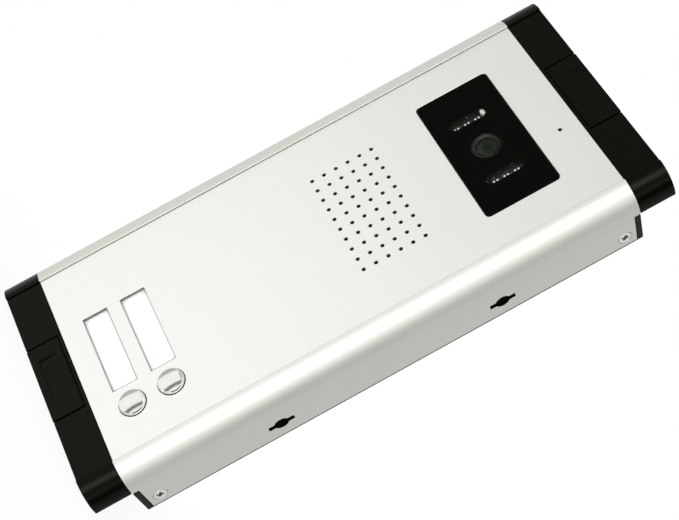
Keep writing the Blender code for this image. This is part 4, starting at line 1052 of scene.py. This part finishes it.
def make_camera():
    data = bpy.data.cameras.new("photo_camera")
    data.lens = CAMERA_LENS
    data.sensor_width = CAMERA_SENSOR
    camera = bpy.data.objects.new("photo_camera", data)
    back = CAMERA_RIGHT.cross(CAMERA_TOP).normalized()
    right = CAMERA_TOP.cross(back).normalized()
    turn = Matrix((right, back.cross(right), back)).transposed()
    camera.matrix_world = Matrix.Translation(CAMERA_PLACE) @ turn.to_4x4()
    bpy.context.scene.collection.objects.link(camera)
    bpy.context.scene.camera = camera


def make_lamp(name, place, width, height, power):
    data = bpy.data.lights.new(name, "AREA")
    data.shape = "RECTANGLE"
    data.size = width
    data.size_y = height
    data.energy = power
    lamp = bpy.data.objects.new(name, data)
    lamp.location = place
    lamp.rotation_euler = (-Vector(place)).to_track_quat("-Z", "Y").to_euler()
    lamp.visible_camera = False
    bpy.context.scene.collection.objects.link(lamp)


def make_world():
    world = bpy.data.worlds.new("white room")
    world.use_nodes = True
    bpy.context.scene.world = world
    graph = Graph(world.node_tree)
    background = world.node_tree.nodes["Background"]
    graph.feed(background.inputs["Color"], (1.0, 1.0, 1.0, 1.0))
    graph.feed(background.inputs["Strength"], AMBIENT + (1.0 - AMBIENT) * graph.shown_directly())


def make_floor():
    level = CAD_BOX[0][2]
    bm = bmesh.new()
    outline = circle(FLOOR_RADIUS, 0.0, 0.0, ROUND)
    bm.faces.new([bm.verts.new((across, along, level)) for across, along in outline])
    floor = shape("floor", bm)
    material = bpy.data.materials.new("pale floor")
    material.use_nodes = True
    graph = Graph(material.node_tree)
    graph.tree.nodes.clear()
    grain = graph.node("ShaderNodeTexNoise", {}, {"Scale": FLOOR_GRAIN})
    pale = graph.mix(grain, FLOOR_DARK, FLOOR_LIGHT)
    place = graph.node("ShaderNodeTexCoord", output="Object")
    reach = graph.node("ShaderNodeVectorMath", {"operation": "LENGTH"}, {0: place}, "Value")
    glow = 1.0 - FLOOR_SHADE * (1.0 - graph.step(reach, SHADE_START, SHADE_END))
    plain = graph.node("ShaderNodeBsdfDiffuse", {}, {"Color": pale})
    white = graph.node("ShaderNodeEmission", {}, {"Color": (1.0, 1.0, 1.0, 1.0), "Strength": 1.0})
    both = graph.node("ShaderNodeMixShader", {}, {0: glow * graph.shown_directly(), 1: plain, 2: white})
    graph.node("ShaderNodeOutputMaterial", {}, {"Surface": both})
    floor.data.materials.append(material)
    floor.visible_glossy = False
    floor.visible_shadow = False


def make_flag(name, place, width, height, tone):
    """A board that faces the object and is seen only in reflections."""
    bm = bmesh.new()
    half = Vector((width / 2, height / 2))
    facing = (-Vector(place)).to_track_quat("-Z", "Y")
    corners = [Vector(place) + facing @ Vector((across, up, 0.0)) for across, up in rectangle(-half, half)]
    bm.faces.new([bm.verts.new(corner) for corner in corners])
    flag = shape(name, bm)
    finish = Finish(f"{name} cloth", Roughness=1.0, Specular_IOR_Level=0.0)
    finish.set("Base Color", finish.tone((tone, tone, tone), FLAG_SPREAD, finish.noise(FLAG_GRAIN)))
    flag.data.materials.append(finish.material)
    flag.visible_camera = False
    flag.visible_diffuse = False
    flag.visible_transmission = False
    flag.visible_shadow = False


def main():
    make_camera()
    make_world()
    make_floor()
    for name, values in FLAGS.items():
        make_flag(name, *values)
    for name, values in LAMPS.items():
        make_lamp(name, *values)
    bpy.context.scene.view_settings.view_transform = "Standard"

    # The extrusion and the panel are one anodised aluminium; their two tones are partly their own finishes
    # and partly painted light and shade.
    extruded = satin_metal("extruded aluminium", (0.52, 0.534, 0.49), roughness=0.55, grain=0.00015,
                           streaks=0.9)
    panel = satin_metal("panel aluminium", (0.595, 0.605, 0.578), roughness=0.45, grain=0.00012)
    satin_top = polished_metal("satin button top", (0.43, 0.44, 0.42), roughness=0.10, scratch=0.06)
    chrome = polished_metal("polished chrome", (0.90, 0.905, 0.88), roughness=0.07)
    steel = polished_metal("zinc plated steel", (0.60, 0.61, 0.57), roughness=0.16, scratch=0.10)
    tinned = moulded("tinned pins", (0.66, 0.66, 0.64), roughness=0.30, grain=0.0001, depth=0.000004,
                     spread=0.05)
    black = moulded("black plastic", (0.0009, 0.0008, 0.0004), roughness=0.25, grain=0.00025,
                    depth=0.000003, gloss=0.0625, shine=(1.0, 0.95, 0.75))
    # Painted shade for the insides of the screws' cross recesses
    painted_recess_shade = moulded("screw recess", (0.08, 0.08, 0.072), roughness=0.6, grain=0.0002, depth=0.00001,
                    gloss=0.2)
    lens_black = moulded("lens barrel black", (0.014, 0.015, 0.012), roughness=0.45, grain=0.0002,
                         depth=0.000005, gloss=0.3)
    back = moulded("back plate plastic", (0.012, 0.012, 0.012), roughness=0.55, grain=0.0006, depth=0.00002,
                   gloss=0.2)
    rubber = moulded("black rubber", (0.010, 0.010, 0.010), roughness=0.75, grain=0.0004, depth=0.00001,
                     gloss=0.2)
    white = moulded("white plastic", (0.80, 0.80, 0.77), roughness=0.45, grain=0.0004, depth=0.000006,
                    spread=0.03)
    beige = moulded("sensor epoxy", (0.58, 0.54, 0.46), roughness=0.35, grain=0.0004, depth=0.000006,
                    spread=0.1)
    smoked = moulded("smoked LED epoxy", (0.016, 0.016, 0.014), roughness=0.25, grain=0.0003,
                     depth=0.000006, gloss=0.15)
    foam = moulded("grey foam", (0.10, 0.10, 0.10), roughness=0.9, grain=0.0005, depth=0.0001, gloss=0.1)
    paper = moulded("black paper", (0.015, 0.015, 0.015), roughness=0.85, grain=0.0003, depth=0.00004,
                    gloss=0.1)
    ferrite = moulded("ferrite", (0.04, 0.04, 0.042), roughness=0.6, grain=0.0002, depth=0.00001)
    terminal = moulded("green terminal plastic", (0.02, 0.16, 0.06), roughness=0.4, grain=0.0003,
                       depth=0.000006)
    sleeve = moulded("capacitor sleeve", (0.012, 0.02, 0.08), roughness=0.3, grain=0.0005, depth=0.000004)
    board = circuit_board("green board", mask=(0.012, 0.09, 0.035), trace=(0.02, 0.14, 0.055))
    dark_board = circuit_board("dark LED board", mask=(0.012, 0.012, 0.010), trace=(0.03, 0.03, 0.027))
    card = white_card()

    copies = copies_recipe()
    lens = middle("lens_glass")
    make_housing(extruded, black)
    make_panel(copies, panel)
    make_ends(black)
    make_back(back, rubber)
    make_screws(copies, steel, painted_recess_shade)
    make_window(lens)
    make_leds(copies, dark_board, smoked, tinned)
    make_sensor(beige)
    make_lens(lens, lens_black)
    make_name_strips(clear_strip(), shaded_sawn_edge())
    make_buttons(chrome, satin_top)
    make_springs(spring_recipe(), steel)
    finish_inner_nodes((
        (black, ("camera_bracket", "lens_holder", "upper_switch_body", "lower_switch_body", "lock_relay")),
        (dark_board, ("led_board",)),
        (board, ("camera_board", "button_board", "main_board")),
        (foam, ("speaker_gasket",)),
        (steel, ("speaker_frame", "microphone_capsule")),
        (paper, ("speaker_cone",)),
        (ferrite, ("speaker_magnet",)),
        (rubber, ("microphone_boot",)),
        (card, ("upper_name_card", "lower_name_card")),
        (white, ("name_card_holder", "upper_switch_plunger", "lower_switch_plunger")),
        (terminal, ("terminal_block",)),
        (sleeve, ("board_capacitor",))))


main()
